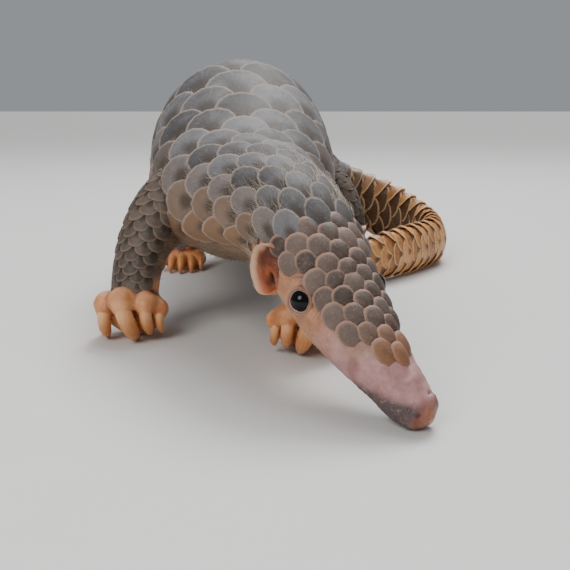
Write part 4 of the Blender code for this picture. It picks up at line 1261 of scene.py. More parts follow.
def plate_form(name, point=0.0, keel=0.0, dome=1.0, middle=0.56):
    """A single scale, one wide each way and one long, a few dozen faces. Its free tip is at y = 1.

    `point` draws the tip out, `keel` raises a ridge down the middle, `dome` is the crown's height, and the
    scale is widest at `middle`.
    """
    degrees = [-d for d in RIM_DEGREES[:0:-1]] + list(RIM_DEGREES)
    rim = []
    for d in np.radians(degrees):
        fore = math.cos(d)
        across = math.copysign(abs(math.sin(d)) ** 0.86, math.sin(d))
        across *= 1 - point * 0.42 * max(fore, 0) ** 1.5
        rim.append((across, middle + (1 - middle if fore > 0 else middle) * fore))
    rim = np.array(rim)
    root = np.array([0.0, middle - 0.16])
    count = len(rim)

    def top(place, share):
        crown = dome * (1 - share**2.2) + 0.45 * (1 - 0.25 * share)
        return crown + keel * (1 - abs(place[0])) ** 2 * (0.4 + 0.6 * share)

    places, out = [(*root, top(root, 0))], [0.0]
    for share in PLATE_RINGS:
        for spot in rim:
            place = root + (spot - root) * share
            places.append((*place, top(place, share)))
            out.append(share)
    for spot in rim:
        place = root + (spot - root) * 0.985
        places.append((*place, 0.0))
        out.append(UNDER_RIM)
    places.append((*root, 0.0))
    out.append(UNDER_MIDDLE)

    faces, turns = [], []
    rings = len(PLATE_RINGS) + 1
    last = 1 + (rings - 1) * count
    for n in range(count):
        m = (n + 1) % count
        here, there, between = n / count, (n + 1) / count, (n + 0.5) / count
        faces.append((0, 1 + m, 1 + n))
        turns.append((between, there, here))
        for r in range(rings - 1):
            a, b = 1 + r * count, 1 + (r + 1) * count
            faces.append((a + n, a + m, b + m, b + n))
            turns.append((here, there, there, here))
        faces.append((last + n, last + m, len(places) - 1))
        turns.append((here, there, between))
    mesh = mesh_of(name, places, faces)
    vertices = [vertex for face in faces for vertex in face]
    around = [turn for of_face in turns for turn in of_face]
    lay_flat(mesh, "plate", np.stack([around, [out[vertex] for vertex in vertices]], 1))
    outward(mesh).shade_smooth()
    return new_object(name, mesh)


def guide_surface(tube, along, spread, columns, rows, turn):
    """A surface ruled in columns and rows of scales: where each lies, and which way is outward there."""
    across = np.linspace(columns[0], columns[1], int((columns[1] - columns[0]) * GUIDE_STEPS) + 1)
    down = np.linspace(rows[0], rows[1], int((rows[1] - rows[0]) * GUIDE_STEPS) + 1)
    r, c = [grid.ravel() for grid in np.meshgrid(down, across, indexing="ij")]
    s = np.clip(along(r), 0.0, tube.length)
    points, out = tube.skin(s, c * spread(s) + turn(s))
    faces = []
    width = len(across)
    for i in range(len(down) - 1):
        for j in range(width - 1):
            faces.append((i * width + j, i * width + j + 1, (i + 1) * width + j + 1, (i + 1) * width + j))
    mesh = mesh_of("guide", points, faces)
    mark(mesh, "outward", out, "FLOAT_VECTOR")
    flat = np.stack([(c - columns[0]) / (columns[1] - columns[0]), (r - rows[0]) / (rows[1] - rows[0])], 1)
    lay_flat(mesh, "lattice", flat[corner_vertices(mesh)])
    return new_object("guide", mesh)


def bake_map(mesh, columns, rows):
    """A flat layout of the coat for later baking: each plate's crown and underside in its own cell."""
    column = marks_of(mesh, "cell column")
    row = marks_of(mesh, "cell row")
    vertices = corner_vertices(mesh)
    plate = np.empty(len(mesh.loops) * 2, np.float32)
    mesh.uv_layers["plate"].data.foreach_get("uv", plate)
    turn, share = plate.reshape(-1, 2).T
    turn = turn * 2 * math.pi
    starts = np.empty(len(mesh.polygons), np.int32)
    totals = np.empty(len(mesh.polygons), np.int32)
    mesh.polygons.foreach_get("loop_start", starts)
    mesh.polygons.foreach_get("loop_total", totals)
    under = np.repeat(np.maximum.reduceat(share > UNDER_RIM + 0.01, starts), totals)
    top = np.minimum(share, UNDER_RIM) * TOP_SHARE
    radius = np.where(under, (UNDER_MIDDLE - share) * UNDER_SHARE, top)
    middle = np.where(under, UNDER_ACROSS, TOP_ACROSS)
    cell_u = (column[vertices] + middle + radius * np.cos(turn)) / columns
    cell_v = (row[vertices] + BOTH_DOWN + radius * np.sin(turn)) / rows
    lay_flat(mesh, "OFBake", np.stack([cell_u, cell_v], 1))


def lay_coat(tree, name, tube, along, spread, lattice, plates, material, turn=lambda s: 0.0, **sizes):
    """One coat of scales on a tube. `lattice` is the first column, the count of columns and the rows.

    `along` gives each row's place down the spine, and `spread` the quarter turns between columns there.
    `turn` is how far the middle column lies round. `plates` are the plain scale and the edge's.
    """
    first, count, rows = lattice
    columns = (first - GUIDE_MARGIN, first + count - 1 + GUIDE_MARGIN)
    ends = (-GUIDE_MARGIN, rows + GUIDE_MARGIN)
    guide = guide_surface(tube, along, spread, columns, ends, turn)
    coat = grown(
        tree, guide, name, plate=plates[0], edge_plate=plates[1], first_column=float(first),
        columns=float(count), rows=float(rows), column_start=columns[0], column_span=columns[1] - columns[0],
        row_start=ends[0], row_span=ends[1] - ends[0], material=material, **sizes,
    )
    discard(guide)
    bake_map(coat.data, count, rows + 1)
    for spare in ("cell column", "cell row", "kept", "size", "lift"):
        coat.data.attributes.remove(coat.data.attributes[spare])
    coat.data.set_sharp_from_angle(angle=SHARP_ANGLE)
    keep_above_floor(coat.data)
    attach(coat, "root")
    return coat


def mark_shaded_underside(coat, middle):
    """Marks the plates of the columns that face the ground or the inside of the curl, for painted shade."""
    mark(coat.data, "under", ease(1.7, 1.2, np.abs(marks_of(coat.data, "column") - middle)))


# Materials


def surface(name):
    """A new material, its tree, and its shader."""
    made = bpy.data.materials.new(name)
    made.use_nodes = True
    t = Tree(made.node_tree)
    return made, t, made.node_tree.nodes["Principled BSDF"]


def feed(t, shader, **inputs):
    """Links or sets the shader's inputs."""
    names = {"colour": "Base Color", "rough": "Roughness", "normal": "Normal"}
    for key, value in inputs.items():
        t.put(value, shader.inputs[names[key]])


def blend_colours(t, share, first, second):
    """Mixes two colours, each a plain colour or a socket."""
    first, second = [(*colour, 1) if isinstance(colour, tuple) else colour for colour in (first, second)]
    inputs = {"Factor_Float": share, "A_Color": first, "B_Color": second}
    return t.add("ShaderNodeMix", inputs, out="Result_Color", data_type="RGBA")


def steps(t, value, low, high, start=0.0, stop=1.0):
    """A smooth step from `start` to `stop` as a value goes from `low` to `high`."""
    inputs = {"Value": value, "From Min": low, "From Max": high, "To Min": start, "To Max": stop}
    return t.add("ShaderNodeMapRange", inputs, interpolation_type="SMOOTHSTEP")


def seen_mark(t, name):
    return t.add("ShaderNodeAttribute", out="Fac", attribute_name=name)


def object_space(t):
    return t.add("ShaderNodeTexCoord", out="Object")


class MarkGroup(Tree):
    """A shader group with named inputs and outputs."""

    def __init__(self, name, inputs, outputs):
        super().__init__(bpy.data.node_groups.new(name, "ShaderNodeTree"))
        for label, kind, default in inputs:
            made = self.tree.interface.new_socket(label, in_out="INPUT", socket_type=kind)
            if default is not None:
                made.default_value = default
        for label, kind in outputs:
            self.tree.interface.new_socket(label, in_out="OUTPUT", socket_type=kind)
        self.start = self.tree.nodes.new("NodeGroupInput")
        self.stop = self.tree.nodes.new("NodeGroupOutput")

    def given(self, name):
        return self.start.outputs[name]

    def give(self, **values):
        for name, value in values.items():
            self.put(value, self.stop.inputs[name])


def plate_group():
    """Marks of one horny plate: a pale rim, worn and in part a painted highlight, a root in painted shadow
    and dust, streaks down it and rings round it.
    """
    number, vector = "NodeSocketFloat", "NodeSocketVector"
    inputs = [
        ("Map", vector, None), ("Object", vector, None), ("Tone", number, 0.5), ("Streaks", number, 34.0),
        ("Rim", number, 0.10), ("Softness", number, 0.05), ("Root", number, 0.55),
    ]
    outputs = [(name, number) for name in ("Rim", "Root", "Streaks", "Dust", "Height")]
    t = MarkGroup("plate marks", inputs, outputs)
    around, out, _ = t.parts(t.given("Map"))
    tone = t.given("Tone")
    wobble = t.noise(t.given("Object"), 420.0, 3.0)
    edge = t.plus(out, t.times(t.minus(wobble, 0.5), 0.16))
    inner = t.minus(1.0, t.given("Rim"))
    soft = t.given("Softness")
    # The rim is pale worn horn and, strongest on the free edge, a painted highlight.
    rim = steps(t, edge, t.minus(inner, soft), t.plus(inner, soft))
    free = steps(t, t.maths("ABSOLUTE", t.minus(around, 0.5)), 0.44, 0.24)
    rim = t.times(rim, t.plus(0.25, t.times(free, 0.75)))
    # The root, where the plate in front overlaps it, is darkened: painted shadow with dust.
    root = steps(t, edge, t.given("Root"), t.minus(t.given("Root"), 0.40))
    across = t.times(around, t.given("Streaks"))
    streak_at = {"X": across, "Y": t.times(out, 1.3), "Z": t.times(tone, 57.0)}
    streaks = t.noise(t.add("ShaderNodeCombineXYZ", streak_at), 1.0, 2.0, 0.6)
    ring_at = {"X": t.times(around, 3.0), "Y": t.times(out, 16.0), "Z": t.times(tone, 31.0)}
    rings = t.noise(t.add("ShaderNodeCombineXYZ", ring_at), 1.0, 2.0, 0.5)
    dust = t.noise(t.given("Object"), 900.0, 4.0, 0.7)
    height = t.plus(t.times(streaks, 0.48), t.times(rings, 0.62))
    height = t.plus(height, t.times(dust, 0.25))
    t.give(Rim=rim, Root=root, Streaks=streaks, Dust=dust, Height=height)
    return t.tree


def skin_group():
    """Grain of bare skin: pores and fine creases, and a slow mottle."""
    number, vector = "NodeSocketFloat", "NodeSocketVector"
    inputs = [("Object", vector, None), ("Crease", number, 1500.0), ("Mottle", number, 140.0)]
    outputs = [(name, number) for name in ("Height", "Mottle", "Pores")]
    t = MarkGroup("skin grain", inputs, outputs)
    where, crease = t.given("Object"), t.given("Crease")
    bent = t.add("ShaderNodeTexNoise", {"Vector": where, "Scale": t.times(crease, 0.4), "Detail": 2.0},
                 out="Color")
    bent = t.vector("SUBTRACT", bent, (0.5, 0.5, 0.5))
    bent = t.vector("MULTIPLY_ADD", bent, (0.0012, 0.0012, 0.0012), where)
    cells = t.add("ShaderNodeTexVoronoi", {"Vector": bent, "Scale": crease}, out="Distance",
                  feature="DISTANCE_TO_EDGE")
    creases = steps(t, cells, 0.0, 0.22)
    pores = t.noise(where, t.times(crease, 2.2), 2.0, 0.5)
    height = t.plus(t.times(creases, 0.6), t.times(pores, 0.4))
    mottle = t.noise(where, t.given("Mottle"), 4.0, 0.6)
    t.give(Height=height, Mottle=mottle, Pores=pores)
    return t.tree


def placed(t, group, inputs):
    """The outputs of a group placed in a tree, its inputs set or linked."""
    node = t.tree.nodes.new("ShaderNodeGroup")
    node.node_tree = group
    for key, value in inputs.items():
        t.put(value, node.inputs[key])
    return node.outputs


def bump(t, height, strength, distance):
    return t.add("ShaderNodeBump", {"Height": height, "Strength": strength, "Distance": distance})


def horn_finish(name, group, low, high, rim, root, edge=None, under=None, rim_width=0.10, softness=0.06,
                rim_and_highlight_share=0.85, root_shade_share=0.8, streaks=34.0, rough=(0.46, 0.66), bump_by=0.00022, dusty=0.35,
                warm=None, flank=None):
    """Horn of the scales: a colour between `low` and `high`, a paler rim, worn and in part a painted
    highlight, a darker root of painted shadow and dust, painted shade on the underside's scales, and streaks.

    `edge` colours the scales of the outermost columns and `under` those of the underside. `warm` is a colour
    and the row where it fades out. `flank` is a colour for the outer columns, with the row where it fades out
    and the columns where it begins and is full.
    """
    made, t, shader = surface(name)
    plate_map = t.add("ShaderNodeUVMap", uv_map="plate")
    where = object_space(t)
    tone = seen_mark(t, "tone")
    marks = placed(t, group, {
        "Map": plate_map, "Object": where, "Tone": tone, "Streaks": streaks, "Rim": rim_width,
        "Softness": softness,
    })
    patches = t.noise(where, 70.0, 3.0)
    mix = t.plus(t.times(tone, 0.5), t.times(marks["Streaks"], 0.55))
    mix = t.plus(mix, t.times(t.minus(patches, 0.5), 0.8))
    colour = blend_colours(t, steps(t, mix, 0.15, 0.95), low, high)
    if warm:
        shade, until = warm
        fading = steps(t, seen_mark(t, "tip"), until, until * 0.25)
        colour = blend_colours(t, fading, colour, shade)
    if flank:
        shade, until, inner, outer = flank
        out = steps(t, t.plus(t.maths("ABSOLUTE", seen_mark(t, "column")), patches), inner, outer)
        fading = t.times(out, steps(t, seen_mark(t, "tip"), until, until * 0.4))
        colour = blend_colours(t, t.times(fading, 0.75), colour, shade)
    if edge:
        colour = blend_colours(t, t.times(seen_mark(t, "margin"), 0.8), colour, edge)
    # Painted shade on the scales of the underside.
    if under:
        colour = blend_colours(t, t.times(seen_mark(t, "under"), 0.9), colour, under)
    # Painted shadow with dust at the root, under the plate in front.
    colour = blend_colours(t, t.times(marks["Root"], root_shade_share), colour, root)
    # Pale worn rim, partly a painted highlight along the free edge.
    colour = blend_colours(t, t.times(marks["Rim"], rim_and_highlight_share), colour, rim)
    dust = steps(t, marks["Dust"], 0.52, 0.78)
    colour = blend_colours(t, t.times(dust, dusty), colour, rim)
    dullness = t.plus(marks["Dust"], t.times(marks["Rim"], 0.2))
    roughness = steps(t, dullness, 0.3, 0.8, *rough)
    feed(t, shader, colour=colour, rough=roughness, normal=bump(t, marks["Height"], 0.7, bump_by))
    shader.inputs["Specular IOR Level"].default_value = 0.32
    return made


def skin_finish(group):
    """Bare skin, coloured by the marks laid on it."""
    made, t, shader = surface("bare skin")
    where = object_space(t)
    grain = placed(t, group, {"Object": where})
    mottle, pores = grain["Mottle"], grain["Pores"]

    def patchy(first, second):
        return blend_colours(t, steps(t, mottle, 0.32, 0.70), first, second)

    def over(colour, name, share, other):
        return blend_colours(t, t.times(seen_mark(t, name), share), colour, other)

    colour = patchy((0.40, 0.165, 0.075), (0.56, 0.285, 0.160))
    colour = over(colour, "snout", 1.0, patchy((0.34, 0.155, 0.150), (0.52, 0.290, 0.275)))
    colour = over(colour, "cap", 0.9, patchy((0.24, 0.125, 0.085), (0.40, 0.235, 0.165)))
    colour = over(colour, "nose", 0.9, patchy((0.20, 0.050, 0.014), (0.44, 0.135, 0.045)))
    # Patchy soil and painted shade on the lower sides and underside of the snout.
    soil_and_shade_noise = t.noise(where, 520.0, 5.0, 0.7)
    soil_and_shade_share = t.times(seen_mark(t, "grime"), steps(t, soil_and_shade_noise, 0.22, 0.52))
    soil = blend_colours(t, steps(t, pores, 0.3, 0.7), (0.018, 0.016, 0.017), (0.095, 0.078, 0.074))
    colour = blend_colours(t, t.times(soil_and_shade_share, 0.92), colour, soil)
    colour = over(colour, "belly", 1.0, patchy((0.14, 0.085, 0.050), (0.28, 0.180, 0.110)))
    colour = over(colour, "leg", 1.0, patchy((0.10, 0.060, 0.038), (0.20, 0.120, 0.075)))
    colour = over(colour, "foot", 1.0, patchy((0.47, 0.150, 0.044), (0.74, 0.320, 0.130)))
    # Pale knuckle skin, partly a painted highlight on the bulges and upper parts of the foot.
    colour = over(colour, "knuckle", 0.60, patchy((0.84, 0.440, 0.200), (0.90, 0.590, 0.350)))
    # Painted shade in the foot's hollows.
    colour = over(colour, "crevice_shade", 0.85, (0.20, 0.040, 0.014))
    colour = over(colour, "ear", 1.0, patchy((0.27, 0.055, 0.014), (0.44, 0.120, 0.038)))
    # Painted shade inside the ear's hollow.
    colour = over(colour, "ear_hollow_shade", 0.85, patchy((0.060, 0.012, 0.005), (0.150, 0.030, 0.010)))
    colour = over(colour, "pale", 0.7, (0.74, 0.47, 0.32))
    # Painted shade in the folds of the lids and brow.
    colour = over(colour, "fold", 0.80, (0.12, 0.042, 0.024))
    # The ear hole's near-black is painted shade.
    colour = over(colour, "deep", 0.97, (0.020, 0.006, 0.004))
    colour = over(colour, "wet", 0.8, (0.13, 0.065, 0.055))
    rough = steps(t, t.plus(mottle, t.times(pores, 0.5)), 0.4, 1.0, 0.46, 0.66)
    glossy = t.maths("MAXIMUM", seen_mark(t, "nose"), seen_mark(t, "wet"))
    rough = t.minus(rough, t.times(glossy, 0.22))
    smooth = t.maths("MAXIMUM", t.times(seen_mark(t, "foot"), 1.9), seen_mark(t, "snout"))
    rough = t.minus(rough, t.times(smooth, 0.10))
    feed(t, shader, colour=colour, rough=rough, normal=bump(t, grain["Height"], 0.45, 0.00020))
    shader.inputs["Subsurface Weight"].default_value = 0.10
    shader.inputs["Subsurface Radius"].default_value = (1.0, 0.35, 0.2)
    shader.inputs["Subsurface Scale"].default_value = 0.002
    return made


def eye_finish():
    """A dark, wet eye: brown iris hardly lighter than the pupil, under a clear glossy layer."""
    made, t, shader = surface("dark eye")
    iris = steps(t, seen_mark(t, "iris"), 0.50, 0.80)
    fibres = t.noise(object_space(t), 1800.0, 2.0)
    brown = blend_colours(t, fibres, (0.006, 0.003, 0.002), (0.016, 0.008, 0.005))
    feed(t, shader, colour=blend_colours(t, iris, (0.001, 0.001, 0.0015), brown), rough=0.06)
    shader.inputs["Coat Weight"].default_value = 1.0
    shader.inputs["Coat Roughness"].default_value = 0.02
    shader.inputs["Coat IOR"].default_value = 1.33
    shader.inputs["Specular IOR Level"].default_value = 0.0
    return made


def claw_finish():
    """Amber horn, paler and thinner at the tip, with fibres along it and soil in them."""
    made, t, shader = surface("claw horn")
    where = object_space(t)
    along = seen_mark(t, "along")
    fibre_at = {"X": t.times(seen_mark(t, "around"), 26.0), "Y": t.times(along, 2.5), "Z": 0.0}
    fibres = t.noise(t.add("ShaderNodeCombineXYZ", fibre_at), 1.0, 3.0, 0.6)
    patches = t.noise(where, 260.0, 4.0, 0.65)
    colour = blend_colours(t, steps(t, fibres, 0.35, 0.7), (0.52, 0.190, 0.055), (0.74, 0.345, 0.135))
    colour = blend_colours(t, steps(t, along, 0.02, 0.42, 0.9, 0.0), colour, (0.82, 0.450, 0.215))
    colour = blend_colours(t, steps(t, along, 0.45, 1.0, 0.0, 0.75), colour, (0.42, 0.130, 0.036))
    soil = t.times(steps(t, patches, 0.60, 0.76), 0.45)
    colour = blend_colours(t, soil, colour, (0.20, 0.105, 0.055))
    height = t.plus(t.times(fibres, 0.6), t.times(patches, 0.4))
    feed(t, shader, colour=colour, rough=steps(t, patches, 0.3, 0.7, 0.24, 0.42),
         normal=bump(t, height, 0.5, 0.00012))
    shader.inputs["Subsurface Weight"].default_value = 0.15
    shader.inputs["Subsurface Radius"].default_value = (1.0, 0.45, 0.2)
    shader.inputs["Subsurface Scale"].default_value = 0.0015
    return made


def hair_finish(name, low, high):
    """Hair between two colours, strand by strand."""
    made, t, shader = surface(name)
    tone = t.plus(seen_mark(t, "tone"), t.times(t.noise(object_space(t), 90.0), 0.3))
    feed(t, shader, colour=blend_colours(t, steps(t, tone, 0.1, 1.2), low, high), rough=0.55)
    return made


def lid_finish():
    """The moist edge of the lids."""
    made, t, shader = surface("moist lid")
    grain = t.noise(object_space(t), 900.0)
    feed(t, shader, colour=blend_colours(t, grain, (0.24, 0.130, 0.100), (0.50, 0.34, 0.28)),
         rough=steps(t, grain, 0.3, 0.7, 0.16, 0.34))
    return made


def floor_finish():
    """The pale matt floor."""
    made, t, shader = surface("studio floor")
    grain = t.noise(object_space(t), 30.0, 4.0)
    feed(t, shader, colour=blend_colours(t, grain, (0.66, 0.655, 0.64), (0.70, 0.695, 0.68)),
         rough=steps(t, grain, 0.3, 0.7, 0.75, 0.9))
    return made


# Pieces


def make_eye(side, name):
    """An eyeball with a slightly fuller cornea."""
    middle, look, fore, low = eye_frame(side)
    rings, count = 40, 48
    places, iris = [], []
    for polar in math.pi * (np.arange(rings) + 0.5) / rings:
        swell = EYE_RADIUS - BALL_INSET + CORNEA_RISE * math.exp(-((polar / 0.62) ** 2))
        for turn in round_turns(count):
            way = fore * math.cos(turn) + low * math.sin(turn)
            places.append(middle + (look * math.cos(polar) + way * math.sin(polar)) * swell)
            iris.append(min(polar / 1.25, 1.0))
    places, faces = lofted(np.array(places).reshape(rings, count, 3))
    mesh = outward(mesh_of(name, places, faces))
    mark(mesh, "iris", iris + [0.0, 1.0])
    mesh.shade_smooth()
    return new_object(name, mesh)


def make_lid_edge(side, name):
    """The moist edge of the lids round the opening, a thin soft ring on the eyeball, fuller below."""
    middle, look, fore, low = eye_frame(side)
    rings = []
    for turn in round_turns(96):
        angle = float(lid_angle(np.array(turn))) - 0.040
        across = fore * math.cos(turn) + low * math.sin(turn)
        way = look * math.cos(angle) + across * math.sin(angle)
        beside = across * math.cos(angle) - look * math.sin(angle)
        thick = 0.00021 + 0.00014 * math.sin(turn) + 0.00002 * math.sin(turn * 17)
        core = middle + way * (EYE_RADIUS + 0.00012)
        rings.append([core + (beside * math.cos(a) + way * math.sin(a)) * thick for a in round_turns(10)])
    mesh = outward(mesh_of(name, *looped(rings)))
    mesh.shade_smooth()
    return new_object(name, mesh)


def make_claws(kind, side, stations, inner, material):
    """The claws of a foot, each set into its digit, hooked, and hollowed along its underside."""
    ankle, digits = foot_parts(kind, stations)
    for number, digit in enumerate(digits, 1):
        tube, split = digit_tube(kind, inner, ankle, digit)
        start, end = split - CLAW_SET, tube.length
        rings, columns = 22, 20
        share = np.repeat(np.linspace(0, 1, rings), columns)
        turn = np.tile(round_turns(columns), rings)
        s = start + (end - start) * share
        points = tube.at_angle(s, turn)[0]
        rows, _, _, heading = tube.frames(s)
        away = points - rows[:, :3]
        inset = 0.88 + 0.11 * ease(0.0, 0.22, share)
        back = np.array(CLAW_BACK[kind])
        back = unit(back - heading * (heading @ back)[:, None])
        facing = np.sum(unit(away) * back, axis=1)
        groove = 0.16 * np.maximum(-facing, 0) ** 3 * ease(0.15, 0.6, share)
        ridge = 0.07 * np.maximum(facing, 0) ** 6 - groove
        points = above_floor(rows[:, :3] + away * inset[:, None] + away * ridge[:, None])
        places, faces = lofted(points.reshape(rings, columns, 3))
        name = f"horn_{kind}_{side}_{number}"
        mesh = outward(mesh_of(name, places, faces))
        mark(mesh, "along", np.concatenate([share, [0, 1]]))
        mark(mesh, "around", np.concatenate([np.abs(turn / math.pi - 1), [0.5, 0.5]]))
        mesh.shade_smooth()
        claw = new_object(name, mesh)
        claw.data.materials.append(material)
        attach(claw, "root")
        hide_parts(f"claw_{kind}_{side}_{number}")


# A hair's sides, its rings as shares of its length, and its depth as a share of its length, because the tree
# scales its depth by its length.
HAIR_SIDES = 3
HAIR_RINGS = (0.0, 0.4, 0.75)
HAIR_FLAT = 0.012

# How much room a hair has on the flat layout for baking, where the whole skin is 1 by 1.
HAIR_ROOM = 0.0014


def hair_form(name, bend):
    """One hair a unit wide and long, bent away from the skin's outward side, tapering to a point."""
    places, faces = [], []
    for share in HAIR_RINGS:
        wide = 1.0 - 0.75 * share
        for turn in round_turns(HAIR_SIDES):
            deep = math.sin(turn) * wide * HAIR_FLAT
            places.append((math.cos(turn) * wide, deep - bend * share**2, share))
    places.append((0, -bend, 1.0))
    last = (len(HAIR_RINGS) - 1) * HAIR_SIDES
    for start in range(0, last, HAIR_SIDES):
        faces += band(start, start + HAIR_SIDES, HAIR_SIDES)
    for n in range(HAIR_SIDES):
        faces.append((last + n, last + (n + 1) % HAIR_SIDES, len(places) - 1))
    faces.append(tuple(range(HAIR_SIDES))[::-1])
    mesh = mesh_of(name, places, faces)
    mesh.shade_smooth()
    return new_object(name, mesh)


def grow_hairs(tree, name, roots, ahead, away, long, material, bend, width, seed):
    """Hairs at root places, with the way each one points, the outward direction there and its length."""
    mesh = mesh_of("roots", roots, [])
    mark(mesh, "ahead", ahead, "FLOAT_VECTOR")
    mark(mesh, "away", away, "FLOAT_VECTOR")
    mark(mesh, "long", long)
    points = new_object("roots", mesh)
    form = hair_form("hair", bend)
    hairs = grown(tree, points, name, hair=form, width=width, seed=seed, material=material)
    mesh = hairs.data
    keep_above_floor(mesh)
    owner, within = np.divmod(corner_vertices(mesh), len(form.data.vertices))
    x, _, z = places_of(form.data)[within].T
    lay_flat(mesh, "OFBake", flat_places(roots)[owner] + np.stack([x, z * 2 - 1], 1) * HAIR_ROOM)
    discard(points)
    discard(form)
    for spare in ("ahead", "away", "long"):
        if spare in mesh.attributes:
            mesh.attributes.remove(mesh.attributes[spare])
    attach(hairs, "root")


def scattered(mesh, weights, count, seed):
    """Random spots on a mesh, more where its vertices' weights are high, the outward ways, and the draw."""
    mesh.calc_loop_triangles()
    corners = np.empty(len(mesh.loop_triangles) * 3, np.int32)
    mesh.loop_triangles.foreach_get("vertices", corners)
    corners = corners.reshape(-1, 3)
    places = places_of(mesh)
    a, b, c = (places[corners[:, n]] for n in range(3))
    across = np.cross(b - a, c - a)
    area = np.linalg.norm(across, axis=1) / 2
    chance = area * weights[corners].mean(axis=1)
    draw = np.random.RandomState(seed)
    chosen = draw.choice(len(corners), count, p=chance / chance.sum())
    one, two = draw.uniform(size=(2, count))
    flip = one + two > 1
    one, two = np.where(flip, 1 - one, one), np.where(flip, 1 - two, two)
    spots = a[chosen] + (b - a)[chosen] * one[:, None] + (c - a)[chosen] * two[:, None]
    return spots, unit(across[chosen] + 1e-18), draw


def flat_places(spots):
    """Places on a flat layout of the skin: down the spine, and round it."""
    spine = SPINE.rows[:, :3]
    nearest, _ = near_places(spine, spots)
    rows, leftward, upward, _ = SPINE.frames(SPINE.reach[nearest])
    away = spots - rows[:, :3]
    turn = np.arctan2(np.sum(away * leftward, 1), np.sum(away * upward, 1)) / (2 * math.pi) + 0.5
    return 0.01 + 0.98 * np.stack([turn, SPINE.reach[nearest] / SPINE.length], 1)


def lying(out, lie, draw, rise, stray):
    """Directions along the lie of the coat, raised off the skin between two slopes, and strayed sideways."""
    lie = unit(lie - out * np.sum(lie * out, axis=1, keepdims=True) + 1e-12)
    side = np.cross(out, lie)
    count = len(out)
    up = rise[0] + (rise[1] - rise[0]) * draw.uniform(size=count)
    return unit(lie + out * up[:, None] + side * (draw.normal(size=count) * stray)[:, None])


def lay_face_down(tree, skin, material):
    """Short pale hairs on the cheeks, round the eye and on the ear's rim."""
    mesh = skin.data
    places = places_of(mesh)
    weight = marks_of(mesh, "face") * (1 - marks_of(mesh, "grime")) * (1 - 0.8 * marks_of(mesh, "snout"))
    near_eye = np.zeros(len(places))
    for side in (-1, 1):
        reach, past, _ = from_eye(places, side)
        near_eye = np.maximum(near_eye, ease(0.036, 0.012, reach) * (past > 0.10))
    weight = weight * (0.08 + near_eye) * (1 - marks_of(mesh, "deep")) * (1 - marks_of(mesh, "wet"))
    weight = weight * (1 - 0.85 * marks_of(mesh, "ear")) * (1 + 3 * marks_of(mesh, "pale"))
    spots, out, draw = scattered(mesh, weight, count=6500, seed=11)
    ahead = lying(out, lie_of_coat(spots), draw, rise=(0.12, 0.60), stray=0.35)
    long = 0.0013 + 0.0015 * draw.uniform(size=len(spots)) ** 2
    roots = spots - out * 0.0001
    grow_hairs(tree, "face_down", roots, ahead, out, long, material, bend=0.12, width=0.000040, seed=21)


def lay_belly_hair(tree, skin, material):
    """Coarse tan hair under the throat, chest and belly, and on the inner sides of the legs."""
    mesh = skin.data
    legs = marks_of(mesh, "leg") * (1 - marks_of(mesh, "foot"))
    weight = np.clip(marks_of(mesh, "belly") + 0.35 * legs, 0, 1)
    spots, out, draw = scattered(mesh, weight, count=7000, seed=12)
    ahead = lying(out, lie_of_coat(spots), draw, rise=(0.10, 0.55), stray=0.30)
    long = 0.0045 + 0.0050 * draw.uniform(size=len(spots))
    roots = spots - out * 0.0002
    grow_hairs(tree, "belly_hair", roots, ahead, out, long, material, bend=0.22, width=0.00010, seed=22)


def lay_bristles(tree, along, spread, material):
    """Pale bristles from under the free edges of the trunk's scales, thickest on neck and shoulders.

    Each one's root is drawn on the rim of a scale, a turn round from its tip.
    """
    half, rows = TRUNK_LATTICE
    draw = np.random.RandomState(13)
    tried = 22000
    column = draw.randint(-half, half + 1, tried)
    tip = draw.randint(1, rows, tried) - 0.5 * ((column + half) % 2)
    thick = bell(tip, 2.6, 3.2) * (0.15 + 0.85 * ease(0.8, 3.2, np.abs(column))) + 0.05
    kept = draw.uniform(size=tried) < thick
    column, tip = column[kept], tip[kept]
    count = len(tip)
    turn = draw.uniform(-1.15, 1.15, count)
    s = along(tip - 0.594 * (1 - np.cos(turn)) - 0.06)
    roots, out = SPINE.skin(s, (column + np.sin(turn) * 0.82) * spread(s), 0.0012)
    ahead = lying(out, SPINE.frames(s)[3], draw, rise=(0.10, 0.50), stray=0.28)
    long = 0.0045 + 0.0060 * draw.uniform(size=count) ** 2
    grow_hairs(tree, "bristles", roots, ahead, out, long, material, bend=0.10, width=0.00005, seed=23)


def flesh_nodes():
    """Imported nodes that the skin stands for."""
    names = ["head", "neck", "torso", "ear_left", "ear_right"]
    parts = ("tail_", "foreleg_", "hindleg_", "forefoot_", "hindfoot_")
    names += [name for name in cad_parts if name.startswith(parts)]
    return names


def head_turn(s):
    """How far round the crown's middle line lies, less and less towards the nape."""
    return HEAD_TURN * ease(NAPE_AT, NAPE_AT - 0.03, s)


def lay_skin():
    """The skin as a finished piece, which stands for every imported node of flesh."""
    skin = make_skin()
    skin.data.materials.clear()
    skin.data.materials.append(skin_finish(skin_group()))
    skin.data.polygons.foreach_set("material_index", np.zeros(len(skin.data.polygons), np.int32))
    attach(skin, "root")
    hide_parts(*flesh_nodes())
    return skin


def lay_back_scales(tree, plate, edge_plate, material, along, spread):
    """Broad grey scales of neck and trunk, with drawn-out ones along the lower edge of each flank."""
    half, rows = TRUNK_LATTICE
    made = lay_coat(
        tree, "trunk_scales", SPINE, along, spread, (-half, 2 * half + 1, rows), (plate, edge_plate),
        material, last_tip=rows + 0.5, front_columns=3.3, front_slope=1.2, edge_column=float(half),
        half_width=0.86, edge_width=0.80, reach=1.42, edge_reach=1.6, rise=0.0022, edge_rise=0.0012,
        thickness=0.0013, seed=5,
    )


